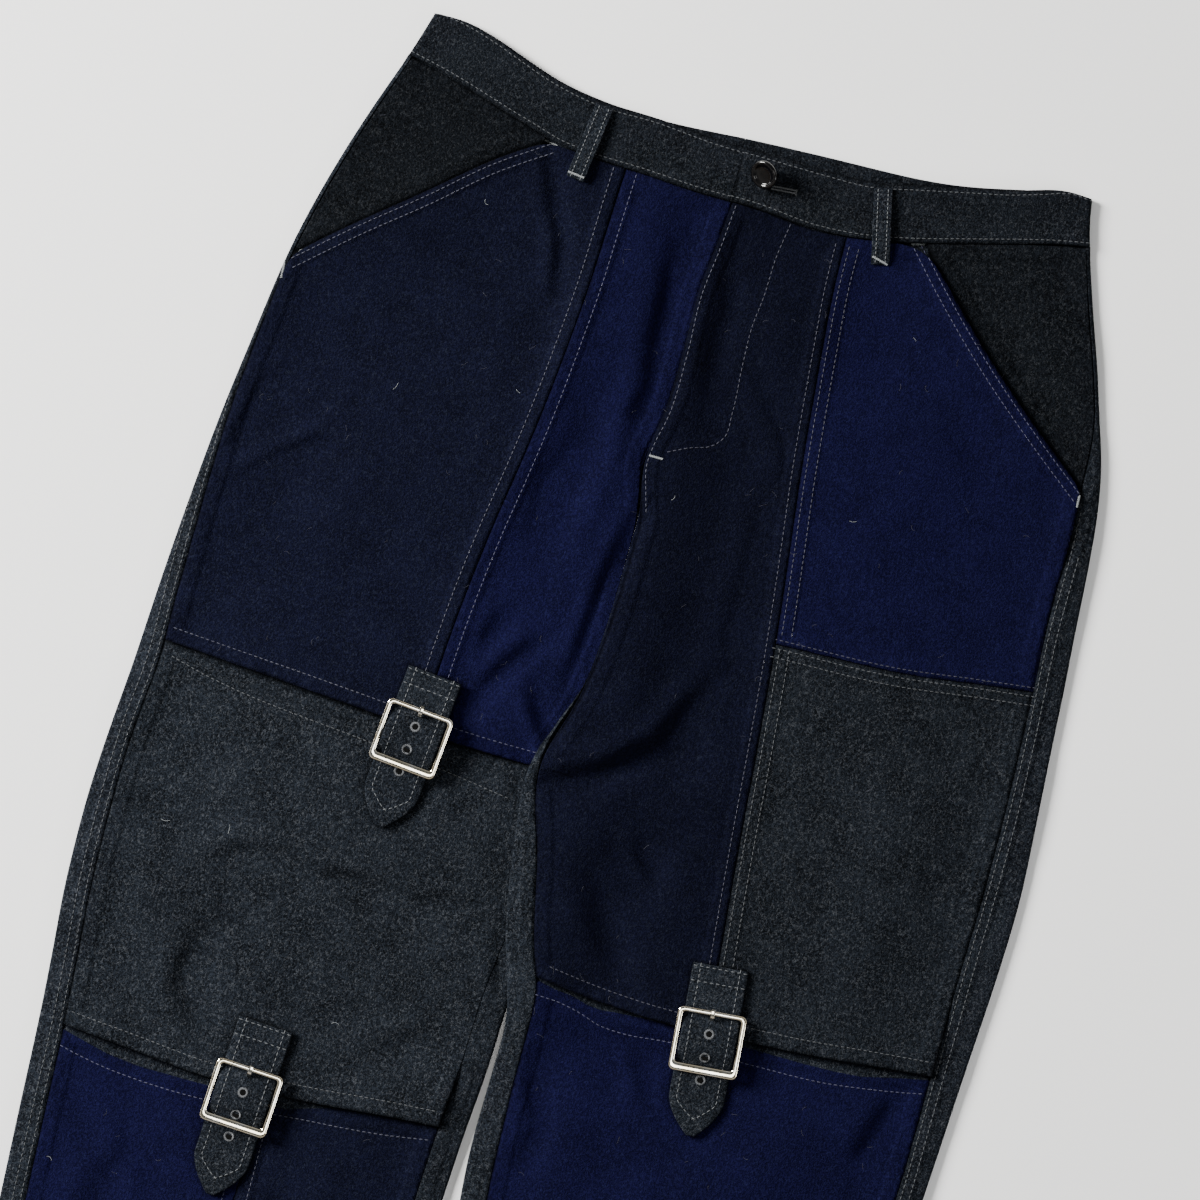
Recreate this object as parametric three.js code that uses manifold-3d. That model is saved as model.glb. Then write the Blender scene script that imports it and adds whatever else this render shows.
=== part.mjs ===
// Patchwork trousers, laid flat on a table with the front up.
// Millimetres. x runs to the viewer's right, y towards the waist, z up from the table.
// Names say the wearer's right and left, so the right leg lies at negative x.
import * as THREE from 'three';
import { mergeVertices } from 'three/addons/utils/BufferGeometryUtils.js';
import Module from 'manifold-3d';

const wasm = await Module();
wasm.setup();

// Driving sizes
const CLOTH = 2.0;            // wall of a wool panel
const BAND_CLOTH = 2.6;       // wall of the doubled waistband
const SEAM_GAP = 0.3;         // between pieces that are sewn edge to edge
const CURVE_GAP = 0.5;        // the same where the seam is strongly curved
const BACK_GAP = 1.2;         // groove of the waist seam on the plain underside
const FOLD_RADIUS = 2.5;      // outside radius where the back cloth turns over an edge
const FRONT_TOP = 2 * FOLD_RADIUS;   // top of the front cloth at an edge
const CROWN = 2.0;            // how far the front stands higher in the middle of a leg
const GRID = 22;              // size of a facet of a front panel
const LONG_GRID = 44;         // size of a facet in the plain length below the photograph
const HEM_Y = -1035;          // leg hems below the waist
const PLAIN_Y = -800;         // below this the legs are plain
const CROTCH_Y = -262;
const UNDER_HEM = 12;         // how far a lower panel goes in under a free hem
const UNDER_SINK = 1.0;       // and how far it sinks there
const HEM_LIFT = 3.8;         // a free hem stands on the panel below it
const LEG_LIFT = 6.8;         // the left leg's inner edge lies on the right leg
const FLY_LIFT = 2.5;
const FLY_LAP = 6;            // the right front goes in under the fly by this much
const MOUTH_LIFT = 2.5;       // a pocket mouth stands on its facing
const MOUTH_LAP = 12;
const FOLD_SCALE = 1.35;      // how strongly the folds of the table below stand out

// One row for each cross-section of the right leg. Apart from y, the columns are distances
// outwards from the centre line, or widths of the back cloth that shows beside the front.
const RIGHT_SECTIONS = [
  { y: 28, edge: 224, strip: 3 },
  { y: 0, edge: 232, strip: 3 },
  { y: -40, edge: 246, seam: 72, inner: 0.15 },
  { y: -80, edge: 258.5, seam: 73 },
  { y: -120, edge: 269, seam: 74 },
  { y: -165, edge: 278, strip: 3, seam: 77 },
  { y: -210, edge: 283, strip: 3.2, seam: 81 },
  { y: -262, edge: 289.5, strip: 5, seam: 87.5, inner: 0.15 },
  { y: -300, edge: 293, strip: 7.3, seam: 93, inner: 0.15 },
  { y: -332, inner: 0.15, turn: 0 },
  { y: -350, inner: -6 },
  { y: -385, inner: -8, inner_strip: 0 },
  { y: -400, edge: 299.5, strip: 14, seam: 101.5 },
  { y: -446, edge: 301.3, strip: 16.5, seam: 102.5, inner: -10, inner_strip: 4, turn: 0 },
  { y: -480, inner_strip: 18, turn: 1 },
  { y: -500, edge: 305, strip: 16 },
  { y: -550, edge: 307, strip: 17.5, inner: -10 },
  { y: -605, edge: 305.5, strip: 18, inner: -5 },
  { y: -650, edge: 301.5, inner: -4 },
  { y: -700, edge: 297.5, strip: 18, inner: -0.5, inner_strip: 18, seam: 139 },
  { y: -760, edge: 294, inner: 2, seam: 137 },
  { y: -900, edge: 285, inner: 8, seam: 141 },
  { y: -1035, edge: 274, strip: 16, inner: 14, inner_strip: 16, seam: 145 },
];
const LEFT_SECTIONS = [
  { y: 28, edge: 236, strip: 3 },
  { y: 5, edge: 240.5, seam: 83 },
  { y: -22, edge: 249.5, inner: 0.15 },
  { y: -50, edge: 258.5, seam: 84 },
  { y: -80, edge: 270, seam: 85 },
  { y: -120, edge: 283, strip: 3, seam: 88.5 },
  { y: -140, edge: 290, strip: 8 },
  { y: -165, edge: 296, strip: 13, seam: 93 },
  { y: -210, edge: 302, strip: 17, seam: 98 },
  { y: -262, edge: 305.5, strip: 20, seam: 105, inner: 0.15 },
  { y: -300, edge: 309, inner: 0.15 },
  { y: -340, edge: 311.5, strip: 21, seam: 114.5, inner: 0.15 },
  { y: -384, inner: -4, inner_strip: 0 },
  { y: -400, edge: 316, strip: 23, seam: 120.5, inner: -9, inner_strip: 3.4, turn: 0 },
  { y: -420, inner: -18, inner_strip: 3.4 },
  { y: -440, inner: -25, inner_strip: 6.5, turn: 1 },
  { y: -450, edge: 319, strip: 25.5, seam: 125, inner: -27, inner_strip: 8 },
  { y: -470, inner: -25, inner_strip: 10 },
  { y: -500, edge: 318, strip: 25, seam: 130, inner: -21, inner_strip: 17 },
  { y: -522, inner: -17.5, inner_strip: 18.5 },
  { y: -560, edge: 315, strip: 22, seam: 136.5, inner: -10, inner_strip: 20 },
  { y: -590, inner: 0, inner_strip: 21, seam: 141 },
  { y: -605, edge: 313, strip: 20, inner: 5, inner_strip: 17 },
  { y: -620, inner: 7.5, inner_strip: 15 },
  { y: -650, edge: 311, strip: 18, inner: 7, inner_strip: 15.5 },
  { y: -700, edge: 308, inner: 6.5, inner_strip: 18 },
  { y: -760, edge: 303, inner: 11 },
  { y: -900, edge: 293, inner: 17 },
  { y: -1035, edge: 282, strip: 16, turn: 1, inner: 22, inner_strip: 16 },
];

// Lines across a leg: out is the distance from the centre line
const UPPER_SLIT_RIGHT = [
  { out: 20, y: -446 }, { out: 80, y: -445 }, { out: 130, y: -441 }, { out: 284, y: -431 }];
const LOWER_SLIT_RIGHT = [
  { out: 19, y: -697 }, { out: 60, y: -700 }, { out: 100, y: -704 }, { out: 170, y: -707 },
  { out: 240, y: -702 }, { out: 280, y: -699 }];
const SLIT_LEFT = [
  { out: 21, y: -581 }, { out: 60, y: -586 }, { out: 119, y: -588 }, { out: 168, y: -585 },
  { out: 200, y: -583 }, { out: 250, y: -578 }, { out: 292, y: -574 }];
const HIP_SEAM_LEFT = [
  { out: 112, y: -322 }, { out: 200, y: -318 }, { out: 250, y: -311 }, { out: 288, y: -306 }];

// Pocket mouths, from the waistband down to the side
const MOUTH_RIGHT = [
  { out: 128, y: -37.5 }, { out: 160, y: -60 }, { out: 200, y: -95 }, { out: 240, y: -128 },
  { out: 275, y: -159 }];
const MOUTH_LEFT = [
  { out: 137, y: -35 }, { out: 160, y: -60 }, { out: 200, y: -99 }, { out: 240, y: -133 },
  { out: 284, y: -167 }];

// Edge of the left front at the fly, which lies on the right front
const FLY = [
  { y: -40, x: 3.5 }, { y: -75, x: 1 }, { y: -110, x: -2.5 }, { y: -150, x: -1 },
  { y: -195, x: -2 }, { y: -215, x: -6 }, { y: -230, x: -7 }, { y: -250, x: -2 },
  { y: -266, x: 2.8 }];
const UNDER_FLY = [
  { y: -195, x: 3 }, { y: -222, x: -8 }, { y: -240, x: -6 }, { y: -266, x: 1.6 }];

// Waistband edges. The front ones are read by x, and so are the back ones
const BAND_FRONT = [
  { x: -236, top: 25, bottom: -7 }, { x: -222, top: 28, bottom: -9.5 },
  { x: -205, top: 26.5, bottom: -13.5 }, { x: -180, top: 20, bottom: -20.5 },
  { x: -160, top: 13, bottom: -26.5 }, { x: -140, top: 6, bottom: -32 },
  { x: -120, top: 1, bottom: -37.5 }, { x: -100, top: -2, bottom: -40 },
  { x: -60, top: -2.5, bottom: -41 }, { x: -20, top: -5.5, bottom: -43 },
  { x: 20, top: -6, bottom: -43 }, { x: 60, top: -6, bottom: -46 },
  { x: 90, top: -5, bottom: -44 }, { x: 120, top: 1.5, bottom: -38.5 },
  { x: 140, top: 6, bottom: -33.5 }, { x: 160, top: 10.5, bottom: -28 },
  { x: 180, top: 15, bottom: -22.5 }, { x: 200, top: 21, bottom: -17 },
  { x: 222, top: 27.5, bottom: -11.5 }, { x: 236, top: 27, bottom: -9 },
  { x: 246, top: 25, bottom: -7 }];
const BAND_BACK = [
  { x: -236, top: 25, bottom: -7 }, { x: -205, top: 26.5, bottom: -12 },
  { x: -160, top: 12.5, bottom: -25.5 }, { x: -120, top: 1, bottom: -36 },
  { x: -60, top: -3, bottom: -39.5 }, { x: 0, top: 1, bottom: -37 },
  { x: 60, top: 4, bottom: -34 }, { x: 120, top: 6, bottom: -33 },
  { x: 160, top: 11, bottom: -27 }, { x: 205, top: 22.5, bottom: -15.5 },
  { x: 246, top: 25, bottom: -7 }];
const BAND_LAP = { edge: 2, under: 30, flat: 36, ends: 78 };   // overlap of the band's ends at the fly

// Folds of the cloth. from and to are the ends of the ridge or furrow, rise is its height,
// half its half-width, and bow bends it to the left of its direction.
const FOLDS = [
  { leg: 'right', from: [-124, -48], to: [-92, -170], rise: -2.4, half: 12, bow: 6 },
  { leg: 'right', from: [-100, -60], to: [-76, -190], rise: 2.4, half: 14, bow: 4 },
  { leg: 'right', from: [-145, -70], to: [-146, -105], rise: -1.2, half: 12, bow: 0 },
  { leg: 'right', from: [-280, -325], to: [-225, -278], rise: -2.6, half: 15, bow: -5 },
  { leg: 'right', from: [-268, -300], to: [-215, -262], rise: 1.8, half: 18, bow: 0 },
  { leg: 'right', from: [-232, -358], to: [-125, -374], rise: -2.4, half: 13, bow: 3 },
  { leg: 'right', from: [-225, -385], to: [-130, -398], rise: 1.6, half: 18, bow: 0 },
  { leg: 'right', from: [-245, -240], to: [-268, -420], rise: -1.5, half: 20, bow: 4 },
  { leg: 'right', from: [-46, -50], to: [-48, -170], rise: 2.2, half: 20, bow: 0 },
  { leg: 'right', from: [-14, -70], to: [-14, -215], rise: -1.8, half: 14, bow: 0 },
  { leg: 'right', from: [-38, -190], to: [-64, -300], rise: -2.6, half: 13, bow: -6 },
  { leg: 'right', from: [-28, -190], to: [-26, -320], rise: 3.0, half: 14, bow: 0 },
  { leg: 'right', from: [-14, -300], to: [-26, -372], rise: -2.4, half: 12, bow: 6 },
  { leg: 'right', from: [-50, -360], to: [-78, -415], rise: -2.6, half: 12, bow: 4 },
  { leg: 'right', from: [-34, -360], to: [-52, -410], rise: 3.2, half: 13, bow: 0 },
  { leg: 'right', from: [-212, -575], to: [-62, -556], rise: -2.8, half: 19, bow: -22 },
  { leg: 'right', from: [-190, -520], to: [-70, -515], rise: 2.0, half: 26, bow: -12 },
  { leg: 'right', from: [-192, -575], to: [-200, -660], rise: -2.2, half: 17, bow: 5 },
  { leg: 'right', from: [-170, -600], to: [-172, -655], rise: 1.8, half: 16, bow: 0 },
  { leg: 'right', from: [-100, -650], to: [-30, -642], rise: -2.2, half: 16, bow: 0 },
  { leg: 'right', from: [-240, -590], to: [-262, -690], rise: 1.4, half: 24, bow: 0 },
  { leg: 'right', from: [-240, -730], to: [-190, -780], rise: -1.6, half: 22, bow: 4 },
  { leg: 'right', from: [-80, -720], to: [-70, -800], rise: 1.5, half: 20, bow: 0 },
  { leg: 'right', from: [-150, -840], to: [-90, -900], rise: -1.6, half: 24, bow: 6 },
  { leg: 'right', from: [-230, -880], to: [-170, -980], rise: 1.6, half: 26, bow: 0 },
  { leg: 'left', from: [22, -52], to: [28, -195], rise: -2.6, half: 12, bow: -3 },
  { leg: 'left', from: [10, -90], to: [12, -180], rise: 1.4, half: 10, bow: 0 },
  { leg: 'left', from: [58, -110], to: [64, -200], rise: 1.4, half: 18, bow: 0 },
  { leg: 'left', from: [66, -170], to: [62, -385], rise: -3.8, half: 24, bow: 12 },
  { leg: 'left', from: [22, -210], to: [18, -380], rise: 2.6, half: 22, bow: 0 },
  { leg: 'left', from: [104, -388], to: [-12, -456], rise: -5.2, half: 16, bow: 8 },
  { leg: 'left', from: [96, -418], to: [24, -470], rise: 3.4, half: 19, bow: 5 },
  { leg: 'left', from: [86, -360], to: [10, -412], rise: 2.6, half: 18, bow: 5 },
  { leg: 'left', from: [40, -470], to: [54, -580], rise: -3.0, half: 14, bow: 4 },
  { leg: 'left', from: [18, -500], to: [34, -570], rise: 1.8, half: 14, bow: 0 },
  { leg: 'left', from: [76, -440], to: [74, -500], rise: -2.0, half: 12, bow: 0 },
  { leg: 'left', from: [94, -470], to: [92, -570], rise: 1.8, half: 18, bow: 0 },
  { leg: 'left', from: [122, -62], to: [124, -120], rise: -1.4, half: 11, bow: 0 },
  { leg: 'left', from: [204, -118], to: [206, -165], rise: -1.6, half: 11, bow: 0 },
  { leg: 'left', from: [214, -78], to: [262, -140], rise: -1.6, half: 12, bow: 0 },
  { leg: 'left', from: [232, -70], to: [272, -118], rise: 1.6, half: 13, bow: 0 },
  { leg: 'left', from: [160, -190], to: [150, -300], rise: 1.2, half: 30, bow: 0 },
  { leg: 'left', from: [266, -330], to: [262, -390], rise: -1.2, half: 22, bow: 0 },
  { leg: 'left', from: [270, -440], to: [262, -560], rise: -1.8, half: 18, bow: 0 },
  { leg: 'left', from: [230, -400], to: [226, -560], rise: 1.6, half: 24, bow: 0 },
  { leg: 'left', from: [36, -605], to: [40, -720], rise: -2.4, half: 13, bow: 2 },
  { leg: 'left', from: [60, -640], to: [62, -740], rise: 2.2, half: 16, bow: 0 },
  { leg: 'left', from: [110, -615], to: [70, -640], rise: -1.8, half: 13, bow: 0 },
  { leg: 'left', from: [288, -600], to: [226, -690], rise: -3.0, half: 17, bow: 6 },
  { leg: 'left', from: [260, -600], to: [200, -665], rise: 2.2, half: 20, bow: 0 },
  { leg: 'left', from: [200, -760], to: [150, -880], rise: 1.6, half: 28, bow: 0 },
  { leg: 'left', from: [110, -860], to: [190, -960], rise: -1.6, half: 26, bow: 6 },
  { leg: 'right', from: [-214, -30], to: [-248, -66], rise: -1.4, half: 12, bow: 0 },
  { leg: 'right', from: [-236, -60], to: [-262, -130], rise: -1.5, half: 13, bow: 4 },
  { leg: 'right', from: [-200, -40], to: [-236, -110], rise: 1.3, half: 14, bow: 0 },
];

// Straps. x and y are the middle of the sewn top end, lean turns the strap about it in
// degrees, buckle, first_eyelet and length are distances down the strap, pitch tips the buckle.
const STRAPS = [
  { name: 'thigh_right', leg: 'right', slit: UPPER_SLIT_RIGHT, x: -102.5, y: -404,
    lean: 4.8, buckle: 46, first_eyelet: 37.5, length: 109, pitch: 7 },
  { name: 'knee_right', leg: 'right', slit: LOWER_SLIT_RIGHT, x: -148, y: -661.5,
    lean: 2.6, buckle: 51.5, first_eyelet: 47.5, length: 121, pitch: 2 },
  { name: 'knee_left', leg: 'left', slit: SLIT_LEFT, x: 136, y: -541,
    lean: -5.4, buckle: 51.5, first_eyelet: 45.5, length: 116, pitch: 3 },
];
const STRAP = { width: 38, wall: 3.0, point: 26, eyelet_pitch: 16, eyelets: 3, hole: 3.2, taper: 0.86 };
const BUCKLE = { width: 47, height: 44, side: 3.4, top: 3.2, bottom: 5, thick: 3.2, corner: 4,
  inner_corner: 2, bevel: 0.7, bar: 2.6, drop: 3.5, lug: 2.8 };
const TAB = { width: 30, wall: 1.2, tail: 24 };
const PRONG = { width: 2.5, wall: 1.4, hole: 16, slot: 7 };
const CLEAR = 0.3;            // running clearance between hard pieces

const LOOP = { width: 12.5, wall: 1.6, rise: 2.2 };
const FRONT_LOOPS = [
  { name: 'belt_loop_front_right', top: [-97, -4.5], end: [-103, -57.5] },
  { name: 'belt_loop_front_left', top: [98.5, -6.5], end: [110.5, -57] },
];
const BACK_LOOP = { wall: 1.2, inset: 2.5, foot: 3, recess: 1.5 };
const BACK_LOOPS = [
  { name: 'belt_loop_back_right', x: -128 },
  { name: 'belt_loop_back_centre', x: 0 },
  { name: 'belt_loop_back_left', x: 128 },
];
const BUTTON = { x: 19.5, y: -20, radius: 10, rim: 1.4, edge: 1.1, wall: 2.4, rim_wall: 3.6,
  turn: -39.5, tilt: 42 };

// Materials
const CHARCOAL = { color: 0x2c3032, roughness: 0.95, metalness: 0 };
const NAVY = { color: 0x161a42, roughness: 0.95, metalness: 0 };
const INK = { color: 0x161a26, roughness: 0.95, metalness: 0 };
const NICKEL = { color: 0xd8d0c0, roughness: 0.18, metalness: 1 };
const HORN = { color: 0x1a1614, roughness: 0.3, metalness: 0.2 };

// Small sums
const lerp = THREE.MathUtils.lerp;
const clamp = THREE.MathUtils.clamp;
const rise = (low, high, value) => THREE.MathUtils.smoothstep(value, low, high);

// Reads one column of a table as a smooth curve over another, without overshoot
function curve(rows, over, name) {
  const knots = rows.filter((row) => row[name] !== undefined)
    .map((row) => [row[over], row[name]])
    .sort((a, b) => a[0] - b[0]);
  const slopes = knots.slice(1).map(([x, v], i) => (v - knots[i][1]) / (x - knots[i][0]));
  const tangent = knots.map((knot, i) => {
    const before = slopes[Math.max(i - 1, 0)];
    const after = slopes[Math.min(i, slopes.length - 1)];
    return before * after <= 0 ? 0 : 2 * before * after / (before + after);
  });
  return (at) => {
    if (knots.length === 1 || at <= knots[0][0]) return knots[0][1];
    if (at >= knots[knots.length - 1][0]) return knots[knots.length - 1][1];
    const i = knots.findIndex(([x]) => x > at) - 1;
    const span = knots[i + 1][0] - knots[i][0];
    const t = (at - knots[i][0]) / span;
    const ease = t * t * (3 - 2 * t);
    return lerp(knots[i][1], knots[i + 1][1], ease)
      + span * t * (1 - t) * (tangent[i] * (1 - t) - tangent[i + 1] * t);
  };
}

function makeLeg(side, sections) {
  const leg = { side };
  for (const name of ['edge', 'strip', 'seam', 'inner', 'inner_strip', 'turn']) {
    leg[name] = curve(sections, 'y', name);
  }
  leg.acrossLine = (rows) => {
    const read = curve(rows, 'out', 'y');
    return (x) => read(side * x);
  };
  leg.outerSeam = (y) => side * (leg.edge(y) - Math.max(leg.strip(y), FOLD_RADIUS + SEAM_GAP) - SEAM_GAP);
  leg.innerSeam = (y) => side * (leg.inner(y) + leg.inner_strip(y) + (leg.inner_strip(y) > 0 ? SEAM_GAP : 0));
  leg.patchSeam = (y) => side * leg.seam(y);
  return leg;
}

const right = makeLeg(-1, RIGHT_SECTIONS);
const left = makeLeg(1, LEFT_SECTIONS);
const legs = { right, left };
const flyX = curve(FLY, 'y', 'x');
const underFlyX = curve(UNDER_FLY, 'y', 'x');
const bandFrontTop = curve(BAND_FRONT, 'x', 'top');
const bandFrontBottom = curve(BAND_FRONT, 'x', 'bottom');
const bandBackTop = curve(BAND_BACK, 'x', 'top');
const bandBackBottom = curve(BAND_BACK, 'x', 'bottom');

// Heights
function foldRise(fold, x, y) {
  const along = new THREE.Vector2(fold.to[0] - fold.from[0], fold.to[1] - fold.from[1]);
  const length = along.length();
  along.divideScalar(length);
  const dx = x - fold.from[0];
  const dy = y - fold.from[1];
  const t = (dx * along.x + dy * along.y) / length;
  const inside = clamp(t, 0, 1);
  const off = dy * along.x - dx * along.y - fold.bow * 4 * inside * (1 - inside);
  const past = (t - inside) * length;
  return fold.rise * Math.exp(-(off * off + past * past) / (fold.half * fold.half));
}

function folds(name, x, y) {
  const list = FOLDS.filter((fold) => fold.leg === name);
  return list.reduce((sum, fold) => sum + foldRise(fold, x, y), 0);
}

// The left leg's inner edge lies on the right leg from just below the crotch to the knee
const LEG_LIFT_START = { from: -270, to: -326 };
const LEG_LIFT_END = { from: -612, to: -652 };
const LEG_LIFT_SLOPE = { top: 12, foot: 84 };
function legLift(x, y) {
  const along = rise(-LEG_LIFT_START.from, -LEG_LIFT_START.to, -y)
    * (1 - rise(-LEG_LIFT_END.from, -LEG_LIFT_END.to, -y));
  return LEG_LIFT * along * (1 - rise(LEG_LIFT_SLOPE.top, LEG_LIFT_SLOPE.foot, x));
}

// Top of the front cloth of one leg, before free edges are lifted
function frontTop(name, x, y) {
  const leg = legs[name];
  const fromSide = leg.edge(y) - leg.side * x;
  const belowCrotch = rise(-CROTCH_Y, 60 - CROTCH_Y, -y);
  const fromInner = leg.side * x - leg.inner(y);
  const nearest = Math.min(fromSide, lerp(fromSide, fromInner, belowCrotch));
  const waist = lerp(0.3, 1, rise(30, 150, -y));
  const plain = CROWN * rise(0, 110, nearest) * waist;
  const hold = rise(2, 24, nearest) * rise(20, 62, -y);
  const covered = rise(4, 30, uncovered(name, x, y));
  return FRONT_TOP + plain + FOLD_SCALE * folds(name, x, y) * hold * covered + liftOf(name, x, y);
}

// The front cloth never comes closer to the back than this
const LEAST_TOP = 5.0;
const LEAST_UNDER = 4.4;      // the same where it sinks under a hem
const liftOf = (name, x, y) => (name === 'left' ? legLift(x, y) : 0);
const lastTop = (name, x, y) => Math.max(frontTop(name, x, y), LEAST_TOP + liftOf(name, x, y));

// The right leg lies flat where the left one covers it
const uncovered = (name, x, y) => (name === 'right' && y < CROTCH_Y ? left.inner(y) - x : Infinity);

const freeHem = (name, line, x, y) => HEM_LIFT * (1 - rise(16, 50, y - line(x)))
  * rise(2, 13, uncovered(name, x, y));
const hemSink = (line, x, y) => UNDER_SINK * rise(-16, 2, y - line(x));

function flyRise(x, y) {
  const across = 1 - rise(flyX(y) + FLY_LAP + 4, flyX(y) + FLY_LAP + 34, x);
  return FLY_LIFT * across * (1 - rise(238, 285, -y));
}

function mouthRise(rows, side, x, y, gape) {
  const first = rows[0];
  const last = rows[rows.length - 1];
  const chord = new THREE.Vector2(last.out - first.out, last.y - first.y);
  const length = chord.length();
  chord.divideScalar(length);
  const dx = side * x - first.out;
  const dy = y - first.y;
  const inside = Math.abs(dy * chord.x - dx * chord.y);
  const t = clamp((dx * chord.x + dy * chord.y) / length, 0, 1);
  const open = gape.height * Math.exp(-(((t - gape.at) / gape.spread) ** 2));
  return (MOUTH_LIFT + open) * (1 - rise(MOUTH_LAP + 3, MOUTH_LAP + 40, inside));
}
const GAPE_RIGHT = { at: 0.62, spread: 0.22, height: 1.8 };
const GAPE_LEFT = { at: 0.68, spread: 0.24, height: 1.2 };

// Solids from two grids of points, outside first. Rows run down, columns to the right.
function slab(top, under) {
  const rows = top.length;
  const columns = top[0].length;
  const at = (j, i) => j * columns + i;
  const below = rows * columns;
  const faces = [];
  const quad = (a, b, c, d) => faces.push(a, b, c, a, c, d);
  for (let j = 0; j < rows - 1; j++) {
    for (let i = 0; i < columns - 1; i++) {
      quad(at(j, i), at(j + 1, i), at(j + 1, i + 1), at(j, i + 1));
      quad(below + at(j, i), below + at(j, i + 1), below + at(j + 1, i + 1), below + at(j + 1, i));
    }
    const last = columns - 1;
    quad(at(j, 0), below + at(j, 0), below + at(j + 1, 0), at(j + 1, 0));
    quad(at(j, last), at(j + 1, last), below + at(j + 1, last), below + at(j, last));
  }
  for (let i = 0; i < columns - 1; i++) {
    const last = rows - 1;
    quad(at(0, i), at(0, i + 1), below + at(0, i + 1), below + at(0, i));
    quad(at(last, i), below + at(last, i), below + at(last, i + 1), at(last, i + 1));
  }
  const geometry = new THREE.BufferGeometry();
  const points = [...top.flat(), ...under.flat()].flat();
  geometry.setAttribute('position', new THREE.Float32BufferAttribute(points, 3));
  geometry.setIndex(faces);
  return geometry;
}

// A panel: x and y from four edge curves, z from a height function, wall straight down
function patch(topEdge, bottomEdge, leftEdge, rightEdge, columns, rowPlaces) {
  const corner = [topEdge(0), topEdge(1), bottomEdge(0), bottomEdge(1)];
  return rowPlaces.map((v) => Array.from({ length: columns + 1 }, (_, i) => {
    const u = i / columns;
    return [0, 1].map((axis) => lerp(topEdge(u)[axis], bottomEdge(u)[axis], v)
      + lerp(leftEdge(v)[axis], rightEdge(v)[axis], u)
      - lerp(lerp(corner[0][axis], corner[1][axis], u), lerp(corner[2][axis], corner[3][axis], u), v));
  }));
}

const across = (yAt, x0, x1) => (u) => [lerp(x0, x1, u), yAt(lerp(x0, x1, u))];
const along = (xAt, y0, y1) => (v) => [xAt(lerp(y0, y1, v)), lerp(y0, y1, v)];
const evenly = (count) => Array.from({ length: count + 1 }, (_, j) => j / count);
const pieces = (length, size = GRID) => Math.max(1, Math.round(Math.abs(length) / size));

// Where a side curve meets a line across the leg
function meet(xAt, yAt, start) {
  let y = start;
  for (let turn = 0; turn < 40; turn++) y = yAt(xAt(y));
  return y;
}

function sheet(plan, topAt, wall = CLOTH) {
  const top = plan.map((row) => row.map(([x, y]) => [x, y, topAt(x, y)]));
  const under = top.map((row) => row.map(([x, y, z]) => [x, y, z - wall]));
  return slab(top, under);
}

// A panel between two sides and two lines across. Its corners are where they meet
function corners({ leftX, rightX, topY, bottomY }) {
  const ends = (lineY, start) => [meet(leftX, lineY, start), meet(rightX, lineY, start)];
  return { top: ends(topY, -100), bottom: ends(bottomY, -500) };
}

function panelRows(spec) {
  const { top, bottom } = corners(spec);
  const y0 = Math.max(...top);
  const y1 = Math.min(...bottom);
  if (spec.plainFrom === undefined) return evenly(pieces(y1 - y0));
  const split = (y0 - spec.plainFrom) / (y0 - y1);
  const upper = evenly(pieces(spec.plainFrom - y0)).map((v) => v * split);
  const lower = evenly(pieces(y1 - spec.plainFrom, LONG_GRID)).slice(1).map((v) => lerp(split, 1, v));
  return [...upper, ...lower];
}

function panelPlan(spec) {
  const { leftX, rightX, topY, bottomY, columns } = spec;
  const { top, bottom } = corners(spec);
  return patch(across(topY, leftX(top[0]), rightX(top[1])),
    across(bottomY, leftX(bottom[0]), rightX(bottom[1])),
    along(leftX, top[0], bottom[0]), along(rightX, top[1], bottom[1]), columns, panelRows(spec));
}

// The y of each row of a panel, at its left or right side
function sideRows(spec, side) {
  const { top, bottom } = corners(spec);
  return panelRows(spec).map((v) => lerp(top[side], bottom[side], v));
}

// Manifold solids, for joining and cutting only
function toSolid(geometry) {
  const bare = geometry.clone();
  bare.deleteAttribute('normal');
  bare.deleteAttribute('uv');
  const merged = mergeVertices(bare, 1e-4);
  return new wasm.Manifold(new wasm.Mesh({
    numProp: 3,
    vertProperties: new Float32Array(merged.attributes.position.array),
    triVerts: new Uint32Array(merged.index.array),
  }));
}

function fromSolid(solid) {
  const mesh = solid.getMesh();
  const geometry = new THREE.BufferGeometry();
  geometry.setAttribute('position', new THREE.BufferAttribute(new Float32Array(mesh.vertProperties), 3));
  geometry.setIndex(new THREE.BufferAttribute(new Uint32Array(mesh.triVerts), 1));
  return geometry;
}

const join = (list) => fromSolid(list.map(toSolid).reduce((sum, solid) => sum.add(solid)));
const cut = (body, tools) => fromSolid(tools.map(toSolid)
  .reduce((rest, tool) => rest.subtract(tool), toSolid(body)));

const garment = new THREE.Group();
function add(name, geometry, material, parent = garment) {
  const mesh = new THREE.Mesh(geometry, new THREE.MeshStandardMaterial(material));
  mesh.name = name;
  parent.add(mesh);
  return mesh;
}

// Front panels
const upperSlitRight = right.acrossLine(UPPER_SLIT_RIGHT);
const lowerSlitRight = right.acrossLine(LOWER_SLIT_RIGHT);
const slitLeft = left.acrossLine(SLIT_LEFT);
const hipSeamLeft = left.acrossLine(HIP_SEAM_LEFT);
const mouthRight = right.acrossLine(MOUTH_RIGHT);
const mouthLeft = left.acrossLine(MOUTH_LEFT);
const belowBand = (x) => bandFrontBottom(x) - CURVE_GAP;
const hem = () => HEM_Y;

// A lower panel starts under the free hem above it, but not where the left leg covers it
const underHem = (name, line) => (x) => line(x)
  + lerp(-SEAM_GAP, UNDER_HEM, rise(18, 44, uncovered(name, x, line(x))));

function pocketTop(mouth, side, corner) {
  return (x) => (side * x > corner ? mouth(x) : Math.min(belowBand(x), mouth(side * corner)));
}

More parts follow.
